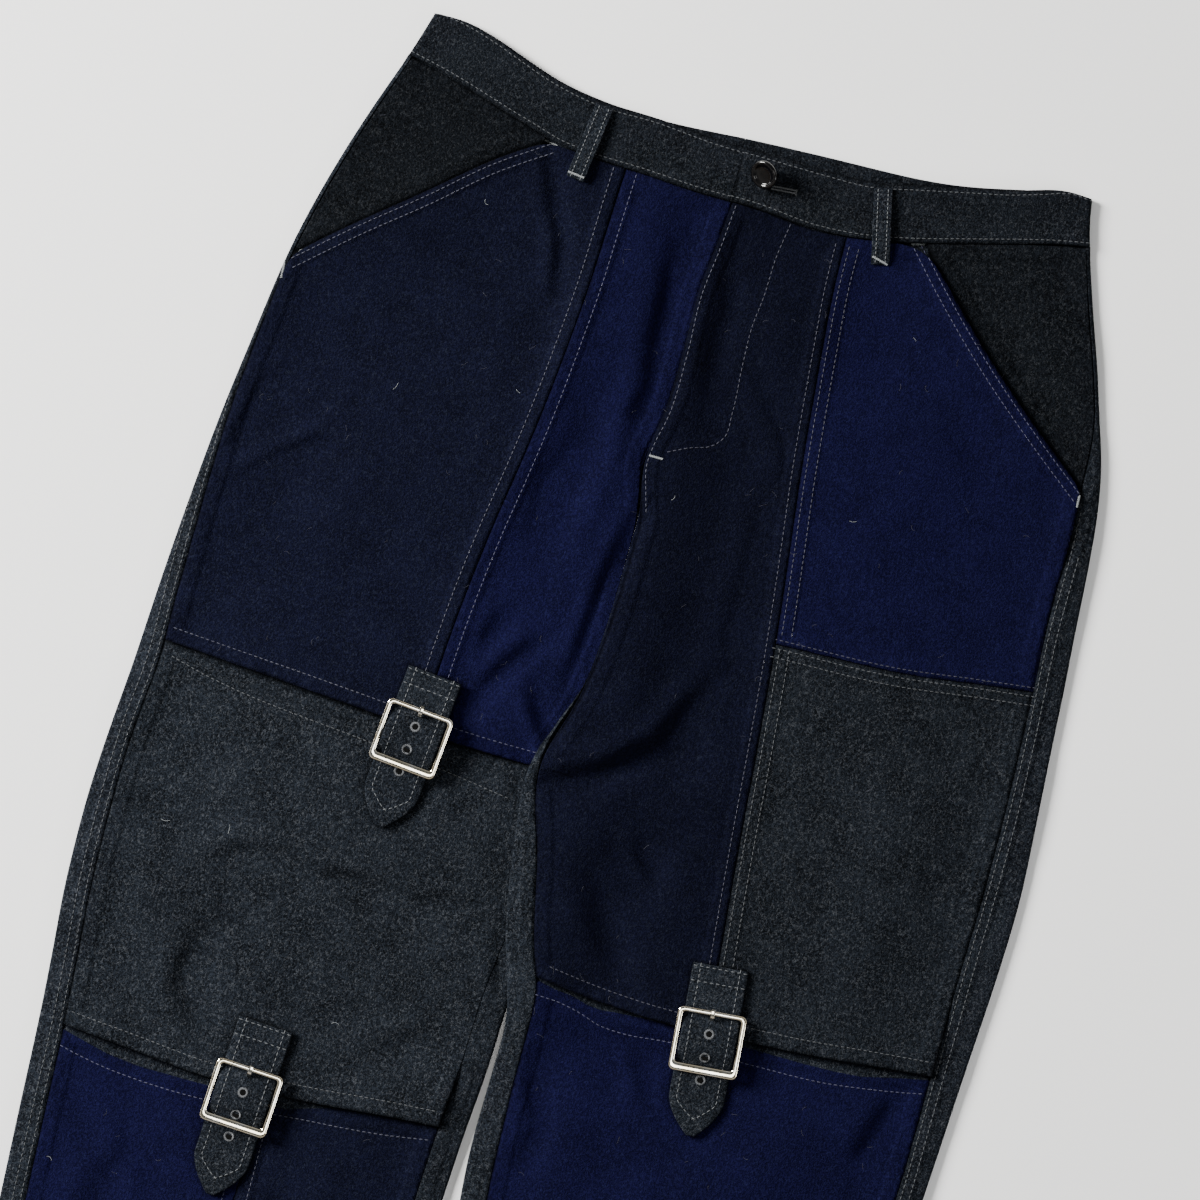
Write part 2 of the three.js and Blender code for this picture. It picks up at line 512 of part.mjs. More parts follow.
const halfGap = SEAM_GAP / 2;
const rightCentreX = (y) => (y > CROTCH_Y ? Math.min(underFlyX(y), y > -200 ? flyX(y) + FLY_LAP : Infinity)
  : right.innerSeam(y));
const leftCentreX = (y) => (y > FLY[FLY.length - 1].y ? flyX(y) : left.innerSeam(y));
const shinSeamX = (y) => right.patchSeam(Math.min(y, -700));

// Front panels: sides and lines across, then the free edge that is lifted
const PANELS = [
  { name: 'front_right_thigh', leg: 'right', cloth: INK, columns: 11,
    leftX: right.outerSeam, rightX: (y) => right.patchSeam(y) - halfGap,
    topY: pocketTop(mouthRight, -1, MOUTH_RIGHT[0].out), bottomY: upperSlitRight,
    lift: (x, y) => Math.max(freeHem('right', upperSlitRight, x, y),
      mouthRise(MOUTH_RIGHT, -1, x, y, GAPE_RIGHT)) },
  { name: 'front_right_centre', leg: 'right', cloth: NAVY, columns: 6,
    leftX: (y) => right.patchSeam(y) + halfGap, rightX: rightCentreX,
    topY: belowBand, bottomY: upperSlitRight,
    lift: (x, y) => freeHem('right', upperSlitRight, x, y) },
  { name: 'front_right_knee', leg: 'right', cloth: CHARCOAL, columns: 13,
    leftX: right.outerSeam, rightX: right.innerSeam,
    topY: underHem('right', upperSlitRight), bottomY: lowerSlitRight,
    lift: (x, y) => freeHem('right', lowerSlitRight, x, y) - hemSink(upperSlitRight, x, y) },
  { name: 'front_right_shin_outer', leg: 'right', cloth: NAVY, columns: 7,
    leftX: right.outerSeam, rightX: (y) => shinSeamX(y) - halfGap,
    topY: underHem('right', lowerSlitRight), bottomY: hem, plainFrom: PLAIN_Y,
    lift: (x, y) => -hemSink(lowerSlitRight, x, y) },
  { name: 'front_right_shin_inner', leg: 'right', cloth: INK, columns: 6,
    leftX: (y) => shinSeamX(y) + halfGap, rightX: right.innerSeam,
    topY: underHem('right', lowerSlitRight), bottomY: hem, plainFrom: PLAIN_Y,
    lift: (x, y) => -hemSink(lowerSlitRight, x, y) },
  { name: 'front_left_centre', leg: 'left', cloth: INK, columns: 7,
    leftX: leftCentreX, rightX: (y) => left.patchSeam(y) - halfGap,
    topY: belowBand, bottomY: slitLeft,
    lift: (x, y) => flyRise(x, y) + freeHem('left', slitLeft, x, y) },
  { name: 'front_left_hip', leg: 'left', cloth: NAVY, columns: 10,
    leftX: (y) => left.patchSeam(y) + halfGap, rightX: left.outerSeam,
    topY: pocketTop(mouthLeft, 1, MOUTH_LEFT[0].out), bottomY: hipSeamLeft,
    lift: (x, y) => mouthRise(MOUTH_LEFT, 1, x, y, GAPE_LEFT) },
  { name: 'front_left_thigh', leg: 'left', cloth: CHARCOAL, columns: 8,
    leftX: (y) => left.patchSeam(y) + halfGap, rightX: left.outerSeam,
    topY: (x) => hipSeamLeft(x) - SEAM_GAP, bottomY: slitLeft,
    lift: (x, y) => freeHem('left', slitLeft, x, y) },
  { name: 'front_left_shin', leg: 'left', cloth: NAVY, columns: 13,
    leftX: (y) => left.innerSeam(y) + rise(-590, -578, y), rightX: left.outerSeam,
    topY: underHem('left', slitLeft), bottomY: hem, plainFrom: PLAIN_Y,
    lift: (x, y) => -hemSink(slitLeft, x, y) },
];
const panel = (name) => PANELS.find((spec) => spec.name === name);

const FACING_INSET = 0.8;    // more room beside the strip of the back, in the same cloth

// A pocket facing fills the corner between band and side, and goes in under the mouth
function facing(name, rows) {
  const leg = legs[name];
  const side = leg.side;
  const first = rows[0];
  const last = rows[rows.length - 1];
  const angle = Math.atan2(first.y - last.y, last.out - first.out);
  const inward = [-Math.sin(angle) * MOUTH_LAP, -Math.cos(angle) * MOUTH_LAP];
  const mouth = curve(rows, 'out', 'y');
  const lap = (t) => {
    const out = lerp(first.out, last.out, t);
    return [out + inward[0], mouth(out) + inward[1]];
  };
  const start = lap(0.06);
  const topInner = [start[0], belowBand(side * start[0])];
  const topOuterY = meet((y) => leg.outerSeam(y), belowBand, -10);
  const topOuter = [Math.abs(leg.outerSeam(topOuterY)), topOuterY];
  const end = lap(0.93);
  const bottomY = end[1];
  const middle = 0.5;
  const T = (u) => {
    const out = lerp(topOuter[0], topInner[0], u);
    return [out, belowBand(side * out)];
  };
  const L = (v) => {
    const y = lerp(topOuter[1], bottomY, v);
    return [side * leg.outerSeam(y) - FACING_INSET * rise(-0.1, 0.2, v), y];
  };
  const R = (v) => {
    const place = lap(lerp(0.06, middle, v));
    const blend = (1 - v) ** 4;
    return [lerp(place[0], topInner[0], blend), lerp(place[1], topInner[1], blend)];
  };
  const foot = L(1);
  const B = (u) => {
    const place = lap(lerp(0.93, middle, u));
    const blend = (1 - u) ** 4;
    return [lerp(place[0], foot[0], blend), lerp(place[1], foot[1], blend)];
  };
  const plan = patch(T, B, L, R, 7, evenly(7)).map((row) => row.map(([out, y]) => [side * out, y]));
  const ordered = side > 0 ? plan.map((row) => row.slice().reverse()) : plan;
  return sheet(ordered, (x, y) => lastTop(name, x, y));
}

// Back panels. A section runs from the inner end, over the table, round the side and back in
// over the front as a strip. Each point gives the outside and the inside of the wall.
const ARC_STEPS = 4;
function turnedEnd(turn, strip) {
  const angle = turn * Math.PI;
  const straight = turn >= 1 ? Math.max(strip - FOLD_RADIUS, 0.5) : lerp(FOLD_RADIUS, 0.8, turn);
  const arc = angle * FOLD_RADIUS;
  const total = arc + straight;
  const inside = FOLD_RADIUS - CLOTH;
  return Array.from({ length: ARC_STEPS + 2 }, (_, k) => {
    const round = k <= ARC_STEPS ? arc * k / ARC_STEPS : total;
    const even = total * k / (ARC_STEPS + 1);
    const run = lerp(even, round, Math.min(turn, 1));
    const theta = Math.min(run, arc) / FOLD_RADIUS;
    const extra = Math.max(run - arc, 0);
    const point = (radius) => [radius * Math.sin(theta) + extra * Math.cos(theta),
      FOLD_RADIUS - radius * Math.cos(theta) + extra * Math.sin(theta)];
    return { outside: point(FOLD_RADIUS), inside: point(inside) };
  });
}

function backRow(name, y, topRow, flat) {
  const leg = legs[name];
  const innerAt = leg.inner(y) + FOLD_RADIUS;
  const outerAt = leg.edge(y) - FOLD_RADIUS;
  const innerEnd = turnedEnd(leg.turn(y), leg.inner_strip(y)).reverse()
    .map(({ outside, inside }) => ({ outside: [innerAt - outside[0], outside[1]],
      inside: [innerAt - inside[0], inside[1]] }));
  const outerEnd = turnedEnd(1, Math.max(leg.strip(y), FOLD_RADIUS + SEAM_GAP))
    .map(({ outside, inside }) => ({ outside: [outerAt + outside[0], outside[1]],
      inside: [outerAt + inside[0], inside[1]] }));
  const middle = flat.map((t) => lerp(innerAt, outerAt, t))
    .map((out) => ({ outside: [out, 0], inside: [out, CLOTH] }));
  const path = [...innerEnd, ...middle, ...outerEnd];
  const ordered = leg.side > 0 ? path : path.reverse();
  const place = ([out, z]) => {
    const x = leg.side * out;
    const gap = lerp(CURVE_GAP, BACK_GAP, rise(4, 40, leg.edge(y) - Math.abs(x)));
    return [x, topRow ? Math.min(bandBackBottom(x) - gap, y) : y, z + liftOf(name, x, y)];
  };
  return { outside: ordered.map((p) => place(p.outside)), inside: ordered.map((p) => place(p.inside)) };
}

// Where the flat of a back panel is divided. The left one bends over the right leg
const BACK_COLUMNS = {
  right: [0.125, 0.25, 0.375, 0.5, 0.625, 0.75, 0.875],
  left: [0.04, 0.08, 0.12, 0.17, 0.22, 0.34, 0.46, 0.58, 0.72, 0.86],
};

function back(name, ys, flat) {
  const rows = ys.map((y, j) => backRow(name, y, j === 0, flat));
  return slab(rows.map((row) => row.inside), rows.map((row) => row.outside));
}

// Waistband, one piece for each side of the body, from the fly round the side to the centre back
const bandSideY = (v) => lerp(25, -7, v);
const BAND_RADIUS = 2.9;
const BAND_ROWS = [0, 0.34, 0.67, 1];
const BAND_ARC = 5;

function bandTop(x, y, laps) {
  const waist = FRONT_TOP + 2 * (BAND_RADIUS - FOLD_RADIUS) + 0.5 * rise(6, 90, 232 - Math.abs(x));
  return waist + (laps ? 3.1 * (1 - rise(BAND_LAP.flat, BAND_LAP.ends, x)) : 0);
}

function band(name, frontEnd, columns) {
  const leg = legs[name];
  const laps = name === 'left';
  const inner = BAND_RADIUS - BAND_CLOTH;
  const rows = BAND_ROWS.map((v) => {
    const sideY = bandSideY(v);
    const tangent = leg.side * (leg.edge(sideY) - BAND_RADIUS);
    const front = evenly(columns).map((u) => {
      const x = lerp(frontEnd, tangent, u);
      const y = lerp(bandFrontTop(x), bandFrontBottom(x), v);
      const blend = rise(0.88, 1, u);
      const z = bandTop(x, y, laps);
      return { outside: [x, lerp(y, sideY, blend), z], inside: [x, lerp(y, sideY, blend), z - BAND_CLOTH] };
    });
    const bend = Array.from({ length: BAND_ARC - 1 }, (_, k) => {
      const theta = Math.PI * (k + 1) / BAND_ARC;
      const point = (radius) => [tangent + leg.side * radius * Math.sin(theta), sideY,
        BAND_RADIUS + radius * Math.cos(theta)];
      return { outside: point(BAND_RADIUS), inside: point(inner) };
    });
    const behind = evenly(8).map((u) => {
      const x = lerp(tangent, leg.side * SEAM_GAP / 2, u);
      const blend = 1 - rise(0, 0.12, u);
      const y = lerp(lerp(bandBackTop(x), bandBackBottom(x), v), sideY, blend);
      return { outside: [x, y, 0], inside: [x, y, BAND_CLOTH] };
    });
    return [...front, ...bend, ...behind];
  });
  const flip = leg.side > 0 ? rows : rows.map((row) => row.slice().reverse());
  return slab(flip.map((row) => row.map((p) => p.outside)), flip.map((row) => row.map((p) => p.inside)));
}

// Straps, buckles, prongs and the hidden tabs that hold the buckles
const legTop = (name, slit) => (x, y) => {
  const line = legs[name].acrossLine(slit);
  return lastTop(name, x, y) + (y > line(x) ? freeHem(name, line, x, y) : 0);
};

function strapFrame(strap) {
  const turn = THREE.MathUtils.degToRad(strap.lean);
  const top = legTop(strap.leg, strap.slit);
  const place = (t, s) => [strap.x + t * Math.cos(turn) - s * Math.sin(turn),
    strap.y - t * Math.sin(turn) - s * Math.cos(turn)];
  const half = STRAP.width / 2;
  const sides = [-1, -0.6, -0.3, 0, 0.3, 0.6, 1];
  const floor = (s) => Math.max(...sides.map((side) => top(...place(side * half, s))));
  const reach = BUCKLE.height / 2 - BUCKLE.top / 2;
  const tip = reach * Math.sin(THREE.MathUtils.degToRad(strap.pitch));
  const under = BUCKLE.thick / 2 + 2 * CLEAR + STRAP.wall;
  const spanFloor = (s0, s1) => Math.max(...evenly(8).map((t) => floor(lerp(s0, s1, t))));
  const upper = spanFloor(strap.buckle - reach - 6, strap.buckle - 4) + CLEAR + under - tip;
  const tabTop = spanFloor(strap.buckle - 4, strap.buckle + TAB.tail) + CLEAR + TAB.wall;
  const lower = tabTop + 2 * CLEAR + under + tip;
  const centre = Math.max(upper, lower) + 0.2;
  return { floor, spanFloor, reach, tip, under, centre, turn };
}

function strapBody(strap, frame) {
  const bar = frame.centre - BUCKLE.drop;
  const over = bar + BUCKLE.bar / 2 + CLEAR + TAB.wall + CLEAR + 0.2;
  const c = strap.buckle;
  const path = curve([
    { s: c - frame.reach - 10, z: 0 },
    { s: c - frame.reach - 2.5, z: frame.centre + frame.tip - frame.under },
    { s: c - frame.reach + 2, z: frame.centre + frame.tip - frame.under },
    { s: c - 9, z: over - 0.6 },
    { s: c, z: over },
    { s: c + 8, z: over - 0.5 },
    { s: c + frame.reach - 5, z: frame.centre - frame.tip - frame.under },
    { s: c + frame.reach + 2.5, z: frame.centre - frame.tip - frame.under },
    { s: c + frame.reach + 15, z: 0 },
  ], 's', 'z');
  const stations = [0, 11, c - frame.reach - 9, c - frame.reach - 2.5, c - frame.reach + 2,
    c - 14, c - 9, c, c + 8, c + 12, c + frame.reach - 5, c + frame.reach + 2.5];
  const tail = strap.length - STRAP.point;
  const rest = evenly(3).slice(1).map((t) => lerp(c + frame.reach + 4, tail, t));
  const point = [0.34, 0.62, 0.84, 1].map((t) => lerp(tail, strap.length, t));
  const all = [...stations, ...rest, ...point].filter((s, k, list) => k === 0 || s > list[k - 1] + 1);
  const rows = all.map((s) => {
    const t = clamp((s - tail) / STRAP.point, 0, 1);
    const half = STRAP.width / 2 * (1 - STRAP.taper * t ** 1.35);
    const z = Math.max(path(s), frame.floor(s) + CLEAR);
    return evenly(4).map((u) => [lerp(-half, half, u), -s, z]);
  });
  const body = slab(rows.map((row) => row.map(([x, y, z]) => [x, y, z + STRAP.wall])), rows);
  const holes = Array.from({ length: STRAP.eyelets }, (_, k) => {
    const hole = new THREE.CylinderGeometry(STRAP.hole / 2, STRAP.hole / 2, 40, 8);
    hole.rotateX(Math.PI / 2);
    return hole.translate(0, -(strap.first_eyelet + k * STRAP.eyelet_pitch), frame.centre);
  });
  const slot = new THREE.BoxGeometry(PRONG.width + 1, PRONG.slot, 40);
  holes.push(slot.translate(0, -(strap.buckle - PRONG.hole), frame.centre));
  return cut(body, holes);
}

function roundedOutline(width, height, radius, lift = 0) {
  const shape = new THREE.Shape();
  const x = width / 2;
  const y = height / 2;
  shape.absarc(x - radius, y - radius + lift, radius, 0, Math.PI / 2);
  shape.absarc(-x + radius, y - radius + lift, radius, Math.PI / 2, Math.PI);
  shape.absarc(-x + radius, -y + radius + lift, radius, Math.PI, 1.5 * Math.PI);
  shape.absarc(x - radius, -y + radius + lift, radius, 1.5 * Math.PI, 2 * Math.PI);
  return shape;
}

function buckleFrame() {
  const grow = BUCKLE.bevel;
  const outline = roundedOutline(BUCKLE.width - 2 * grow, BUCKLE.height - 2 * grow, BUCKLE.corner - grow);
  const windowWidth = BUCKLE.width - 2 * BUCKLE.side + 2 * grow;
  const windowHeight = BUCKLE.height - BUCKLE.top - BUCKLE.bottom + 2 * grow;
  outline.holes.push(roundedOutline(windowWidth, windowHeight, BUCKLE.inner_corner + grow,
    (BUCKLE.bottom - BUCKLE.top) / 2));
  const ring = new THREE.ExtrudeGeometry(outline, {
    depth: BUCKLE.thick - 2 * grow, bevelThickness: grow, bevelSize: grow, bevelSegments: 1,
    curveSegments: 2 });
  ring.translate(0, 0, -BUCKLE.thick / 2 + grow);
  const bar = new THREE.CylinderGeometry(BUCKLE.bar / 2, BUCKLE.bar / 2, BUCKLE.width - BUCKLE.side, 8);
  bar.rotateZ(Math.PI / 2).translate(0, 0, -BUCKLE.drop);
  const lugs = [-1, 1].map((side) => {
    const lug = new THREE.BoxGeometry(BUCKLE.side * 0.7, BUCKLE.lug, BUCKLE.drop + BUCKLE.bar / 2);
    return lug.translate(side * (BUCKLE.width - BUCKLE.side) / 2, 0, -(BUCKLE.drop + BUCKLE.bar / 2) / 2);
  });
  return join([ring, bar, ...lugs]);
}

// Turns a profile in y and z into a solid of the given width across x
function extrudeAcross(shape, width, segments = 5) {
  const options = { depth: width, bevelEnabled: false, curveSegments: segments };
  const geometry = new THREE.ExtrudeGeometry(shape, options);
  geometry.translate(0, 0, -width / 2);
  return geometry.applyMatrix4(new THREE.Matrix4().set(0, 0, 1, 0, 1, 0, 0, 0, 0, 1, 0, 0, 0, 0, 0, 1));
}

function ringShape(wall) {
  const shape = new THREE.Shape();
  shape.absarc(0, 0, BUCKLE.bar / 2 + CLEAR + wall, 0, 2 * Math.PI);
  const bore = new THREE.Path();
  bore.absarc(0, 0, BUCKLE.bar / 2 + CLEAR, 0, 2 * Math.PI);
  shape.holes.push(bore);
  return shape;
}

function ribbonShape(points, wall) {
  const middle = points.map(([y, z]) => new THREE.Vector2(y, z));
  const normals = middle.map((_, k) => {
    const a = middle[Math.max(k - 1, 0)];
    const b = middle[Math.min(k + 1, middle.length - 1)];
    return new THREE.Vector2(a.y - b.y, b.x - a.x).normalize().multiplyScalar(wall / 2);
  });
  const upper = middle.map((p, k) => p.clone().add(normals[k]));
  const lower = middle.map((p, k) => p.clone().sub(normals[k])).reverse();
  return new THREE.Shape([...upper, ...lower]);
}

function tabBody(strap, frame) {
  const bar = frame.centre - BUCKLE.drop;
  const low = BUCKLE.bar / 2 + CLEAR + TAB.wall / 2;
  const rest = frame.spanFloor(strap.buckle - 4, strap.buckle + TAB.tail) + CLEAR + TAB.wall / 2 - bar;
  const bend = Math.max(-low, rest);
  const tail = ribbonShape([[0.5, -low], [-3, bend], [-9, rest], [-TAB.tail, rest]], TAB.wall);
  const whole = join([extrudeAcross(ringShape(TAB.wall), TAB.width), extrudeAcross(tail, TAB.width)]);
  const gap = 2 * (BUCKLE.bar + TAB.wall + 2 * CLEAR);
  const slot = new THREE.BoxGeometry(PRONG.width + 2 * CLEAR, gap, gap).translate(0, gap / 2 - 3.2, 0);
  return cut(whole, [slot]);
}

function prongBody(strap, frame) {
  const tip = frame.reach;
  const edge = BUCKLE.height / 2 * Math.sin(THREE.MathUtils.degToRad(strap.pitch));
  const bar = BUCKLE.drop + edge + BUCKLE.thick / 2 + CLEAR + PRONG.wall / 2 + 0.1;
  const arm = ribbonShape([[1.5, 1.9], [6, 0.9], [PRONG.hole - 4.5, 0], [PRONG.hole - 1.5, 1.6],
    [tip - 3.2, bar - 1.1], [tip - 1.8, bar], [tip + 2.5, bar - 0.1]], PRONG.wall);
  return join([extrudeAcross(ringShape(TAB.wall), PRONG.width), extrudeAcross(arm, PRONG.width)]);
}

function addStrap(strap) {
  const frame = strapFrame(strap);
  const group = new THREE.Group();
  group.position.set(strap.x, strap.y, 0);
  group.rotation.z = -frame.turn;
  garment.add(group);
  add(`strap_${strap.name}`, strapBody(strap, frame), CHARCOAL, group);
  const buckle = add(`buckle_${strap.name}`, buckleFrame(), NICKEL, group);
  buckle.position.set(0, -strap.buckle, frame.centre);
  buckle.rotation.x = THREE.MathUtils.degToRad(strap.pitch);
  const bar = frame.centre - BUCKLE.drop * Math.cos(buckle.rotation.x);
  const slip = BUCKLE.drop * Math.sin(buckle.rotation.x);
  const tab = add(`buckle_tab_${strap.name}`, tabBody(strap, frame), CHARCOAL, group);
  tab.position.set(0, -strap.buckle + slip, bar);
  const prong = add(`prong_${strap.name}`, prongBody(strap, frame), NICKEL, group);
  prong.position.set(0, -strap.buckle + slip, bar);
}

// Belt loops
function frontLoop(loop) {
  const top = new THREE.Vector2(...loop.top);
  const end = new THREE.Vector2(...loop.end);
  const down = end.clone().sub(top);
  const side = new THREE.Vector2(-down.y, down.x).normalize().multiplyScalar(LOOP.width / 2);
  const seat = (x, y) => (y > bandFrontBottom(x) - 2 ? bandTop(x, y, x > 0)
    : lastTop(x < 0 ? 'right' : 'left', x, y) + (x < 0 ? mouthRise(MOUTH_RIGHT, -1, x, y, GAPE_RIGHT)
      : Math.max(mouthRise(MOUTH_LEFT, 1, x, y, GAPE_LEFT), flyRise(x, y))));
  const rows = evenly(8).map((v) => {
    const middle = top.clone().addScaledVector(down, v);
    const points = [-1, 0, 1].map((k) => middle.clone().addScaledVector(side, k));
    const floor = Math.max(...points.map((p) => seat(p.x, p.y)), ...points.map((p) => seat(p.x, p.y - 3)));
    const z = floor + SEAM_GAP + LOOP.rise * Math.sin(Math.PI * v) ** 0.7;
    return points.map((p) => [p.x, p.y, z]);
  });
  return slab(rows.map((row) => row.map(([x, y, z]) => [x, y, z + LOOP.wall])), rows);
}

function backLoopBox(x, grow, wall) {
  const top = bandBackTop(x) - BACK_LOOP.inset + grow;
  const bottom = bandBackBottom(x) + BACK_LOOP.foot - grow;
  const box = new THREE.BoxGeometry(LOOP.width + 2 * grow, top - bottom, wall);
  return box.translate(x, (top + bottom) / 2, wall / 2);
}

// Button, standing tipped on the band with its shank in the buttonhole
function button() {
  const { radius, rim, edge, wall, rim_wall: high } = BUTTON;
  const profile = [
    [0, 0], [radius - 1.5, 0], [radius, edge], [radius, high - 0.7], [radius - 0.7, high],
    [radius - rim, high], [radius - rim - 0.9, wall], [0, wall],
  ].map(([r, z]) => new THREE.Vector2(r, z));
  const body = new THREE.LatheGeometry(profile, 20).rotateX(Math.PI / 2);
  const holes = [0, 1, 2, 3].map((k) => {
    const angle = Math.PI / 4 + k * Math.PI / 2;
    const hole = new THREE.CylinderGeometry(0.9, 0.9, 20, 6).rotateX(Math.PI / 2);
    return hole.translate(2.2 * Math.cos(angle), 2.2 * Math.sin(angle), 0);
  });
  return cut(body, holes);
}

function build() {
  for (const spec of PANELS) {
    const top = (x, y) => Math.max(lastTop(spec.leg, x, y) + spec.lift(x, y),
      LEAST_UNDER + liftOf(spec.leg, x, y));
    add(spec.name, sheet(panelPlan(spec), top), spec.cloth);
  }
  add('pocket_facing_right', facing('right', MOUTH_RIGHT), CHARCOAL);
  add('pocket_facing_left', facing('left', MOUTH_LEFT), CHARCOAL);
  add('back_right', back('right', backStations('right'), BACK_COLUMNS.right), CHARCOAL);
  add('back_left', back('left', backStations('left'), BACK_COLUMNS.left), CHARCOAL);

  const recess = (loop) => backLoopBox(loop.x, SEAM_GAP, BACK_LOOP.recess).translate(0, 0, -0.01);
  const recesses = () => BACK_LOOPS.map(recess);
  add('waistband_right', cut(band('right', BAND_LAP.under, 14), recesses()), CHARCOAL);
  add('waistband_left', cut(band('left', BAND_LAP.edge, 13), recesses()), CHARCOAL);
  for (const loop of FRONT_LOOPS) add(loop.name, frontLoop(loop), CHARCOAL);
  for (const loop of BACK_LOOPS) add(loop.name, backLoopBox(loop.x, 0, BACK_LOOP.wall), CHARCOAL);
  for (const strap of STRAPS) addStrap(strap);

  const seat = bandTop(BUTTON.x, BUTTON.y, true) + SEAM_GAP;
  const tilt = THREE.MathUtils.degToRad(BUTTON.tilt);
  const fastener = add('waist_button', button(), HORN);
  fastener.rotation.set(tilt, 0, 0);
  const turned = new THREE.Group();
  turned.add(fastener);
  turned.rotation.z = THREE.MathUtils.degToRad(BUTTON.turn);
  const lowest = BUTTON.radius * Math.sin(tilt) - BUTTON.edge * Math.cos(tilt);
  turned.position.set(BUTTON.x, BUTTON.y, seat + lowest);
  garment.add(turned);
}

// Rows of a back panel. Where its inner strip shows beside a front panel, they are that
// panel's own rows, so the seam keeps its gap.
const BACK_STEP = 36;
function backStations(name) {
  const list = [-7.5];
  for (let y = -46; y > -384; y -= BACK_STEP) list.push(y);
  if (name === 'left') {
    list.push(-100, -136, -172);
    list.push(...sideRows(panel('front_left_centre'), 0).filter((y) => y < -384));
    list.push(...sideRows(panel('front_left_shin'), 0).filter((y) => y < -590));
  } else {
    list.push(-410);
    list.push(...sideRows(panel('front_right_knee'), 1).filter((y) => y < -440));
    list.push(...sideRows(panel('front_right_shin_inner'), 1).filter((y) => y < -705));
  }
  list.sort((a, b) => b - a);
  return list.filter((y, k) => k === 0 || y < list[k - 1] - 2);
}

build();

// The origin is the middle of the part's own box, on the table
garment.updateMatrixWorld(true);
const box = new THREE.Box3().setFromObject(garment, true);
const middle = box.getCenter(new THREE.Vector3());
const group = new THREE.Group();
garment.position.set(-middle.x, -middle.y, -box.min.z);
group.add(garment);

export default group;
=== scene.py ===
# %% [markdown]
# # Patchwork trousers, laid flat
# Wide wool trousers lie on a pale table with the front up. They are patched from three dark
# cloths, a charcoal, an ink and a navy, and three buckled straps cross slits in the legs.
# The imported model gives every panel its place. Each one is taken as a coarse cage here,
# made finer, creased, and dressed in wool, thread, metal and horn.

# %% Load the frame
import math
import random
import bmesh
import bpy
import numpy as np
from mathutils import Matrix, Vector, kdtree, noise
from mathutils.bvhtree import BVHTree


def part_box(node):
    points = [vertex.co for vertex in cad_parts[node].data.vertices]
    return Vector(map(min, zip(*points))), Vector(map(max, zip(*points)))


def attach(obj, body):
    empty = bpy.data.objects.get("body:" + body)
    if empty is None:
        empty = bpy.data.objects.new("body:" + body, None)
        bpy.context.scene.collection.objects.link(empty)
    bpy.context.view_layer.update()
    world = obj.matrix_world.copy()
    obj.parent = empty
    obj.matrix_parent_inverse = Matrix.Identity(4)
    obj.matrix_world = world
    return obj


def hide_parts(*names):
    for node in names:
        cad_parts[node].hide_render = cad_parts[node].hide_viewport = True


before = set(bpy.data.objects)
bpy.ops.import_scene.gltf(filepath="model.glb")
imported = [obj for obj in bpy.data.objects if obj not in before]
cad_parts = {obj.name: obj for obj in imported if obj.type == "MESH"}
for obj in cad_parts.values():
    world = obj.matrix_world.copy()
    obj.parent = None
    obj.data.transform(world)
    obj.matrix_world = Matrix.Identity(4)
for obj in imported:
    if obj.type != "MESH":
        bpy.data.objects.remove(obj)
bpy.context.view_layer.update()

# %% [markdown]
# ## The tailor's measurements
# A pattern cutter measures from one point: here the middle of the back waist, in
# millimetres, with x to the viewer's right and y up to the waist. All the tables below use
# that. The centre-back loop and the hems say where that point lies in the frame.

# %% Place of the pattern
HEM_Y = -1035
loop_low, loop_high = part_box("belt_loop_back_centre")
shin_low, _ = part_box("front_left_shin")
PATTERN_X = (loop_low[0] + loop_high[0]) / 2
PATTERN_Y = shin_low[1] - HEM_Y / 1000


def to_frame(x, y, z=0.0):
    return Vector((PATTERN_X + x / 1000, PATTERN_Y + y / 1000, z / 1000))


def put(name, data):
    """An object of its own in the scene for a mesh, a lamp or the camera."""
    made = bpy.data.objects.new(name, data)
    bpy.context.collection.objects.link(made)
    return made


print("the pattern's point is at", round(PATTERN_X, 4), round(PATTERN_Y, 4))

# %% [markdown]
# ## The camera and the light
# The photograph looks straight down and a little turned, so the camera hangs above the
# knees with a long lens. A window on the left brings out the folds, a small soft box overhead
# shines on the metal, and a weak light from the right opens the shadows.

# %% Camera
VIEW_CENTRE = (-9.6, -325.7)
VIEW_WIDTH = 0.811
VIEW_ROLL = 15.8
camera_height = 2.6

camera_data = bpy.data.cameras.new("camera")
camera_data.sensor_width = 36
camera_data.lens = 36 * camera_height / VIEW_WIDTH
camera = put("camera", camera_data)
camera.location = to_frame(*VIEW_CENTRE, camera_height * 1000)
camera.rotation_euler = (0, 0, math.radians(VIEW_ROLL))
bpy.context.scene.camera = camera
print("lens", camera_data.lens)

# %% Lights


def soft_box(name, place, size, power, colour):
    """A lamp at so many metres right, up and towards the camera, as the camera sees it."""
    data = bpy.data.lights.new(name, "AREA")
    data.shape = "RECTANGLE"
    data.size, data.size_y = size
    data.energy = power
    data.color = colour
    light = put(name, data)
    middle = to_frame(*VIEW_CENTRE)
    light.location = middle + Matrix.Rotation(math.radians(VIEW_ROLL), 3, "Z") @ Vector(place)
    light.rotation_euler = (middle - light.location).to_track_quat("-Z", "Y").to_euler()


soft_box("window_light", (-3.0, 1.55, 1.75), (1.4, 1.4), 665, (1.0, 0.99, 0.97))
soft_box("top_light", (-0.15, -0.95, 2.9), (1.0, 1.0), 22, (1.0, 0.99, 0.97))
soft_box("edge_light", (1.6, -1.2, 0.9), (0.8, 0.5), 14, (0.94, 0.97, 1.0))

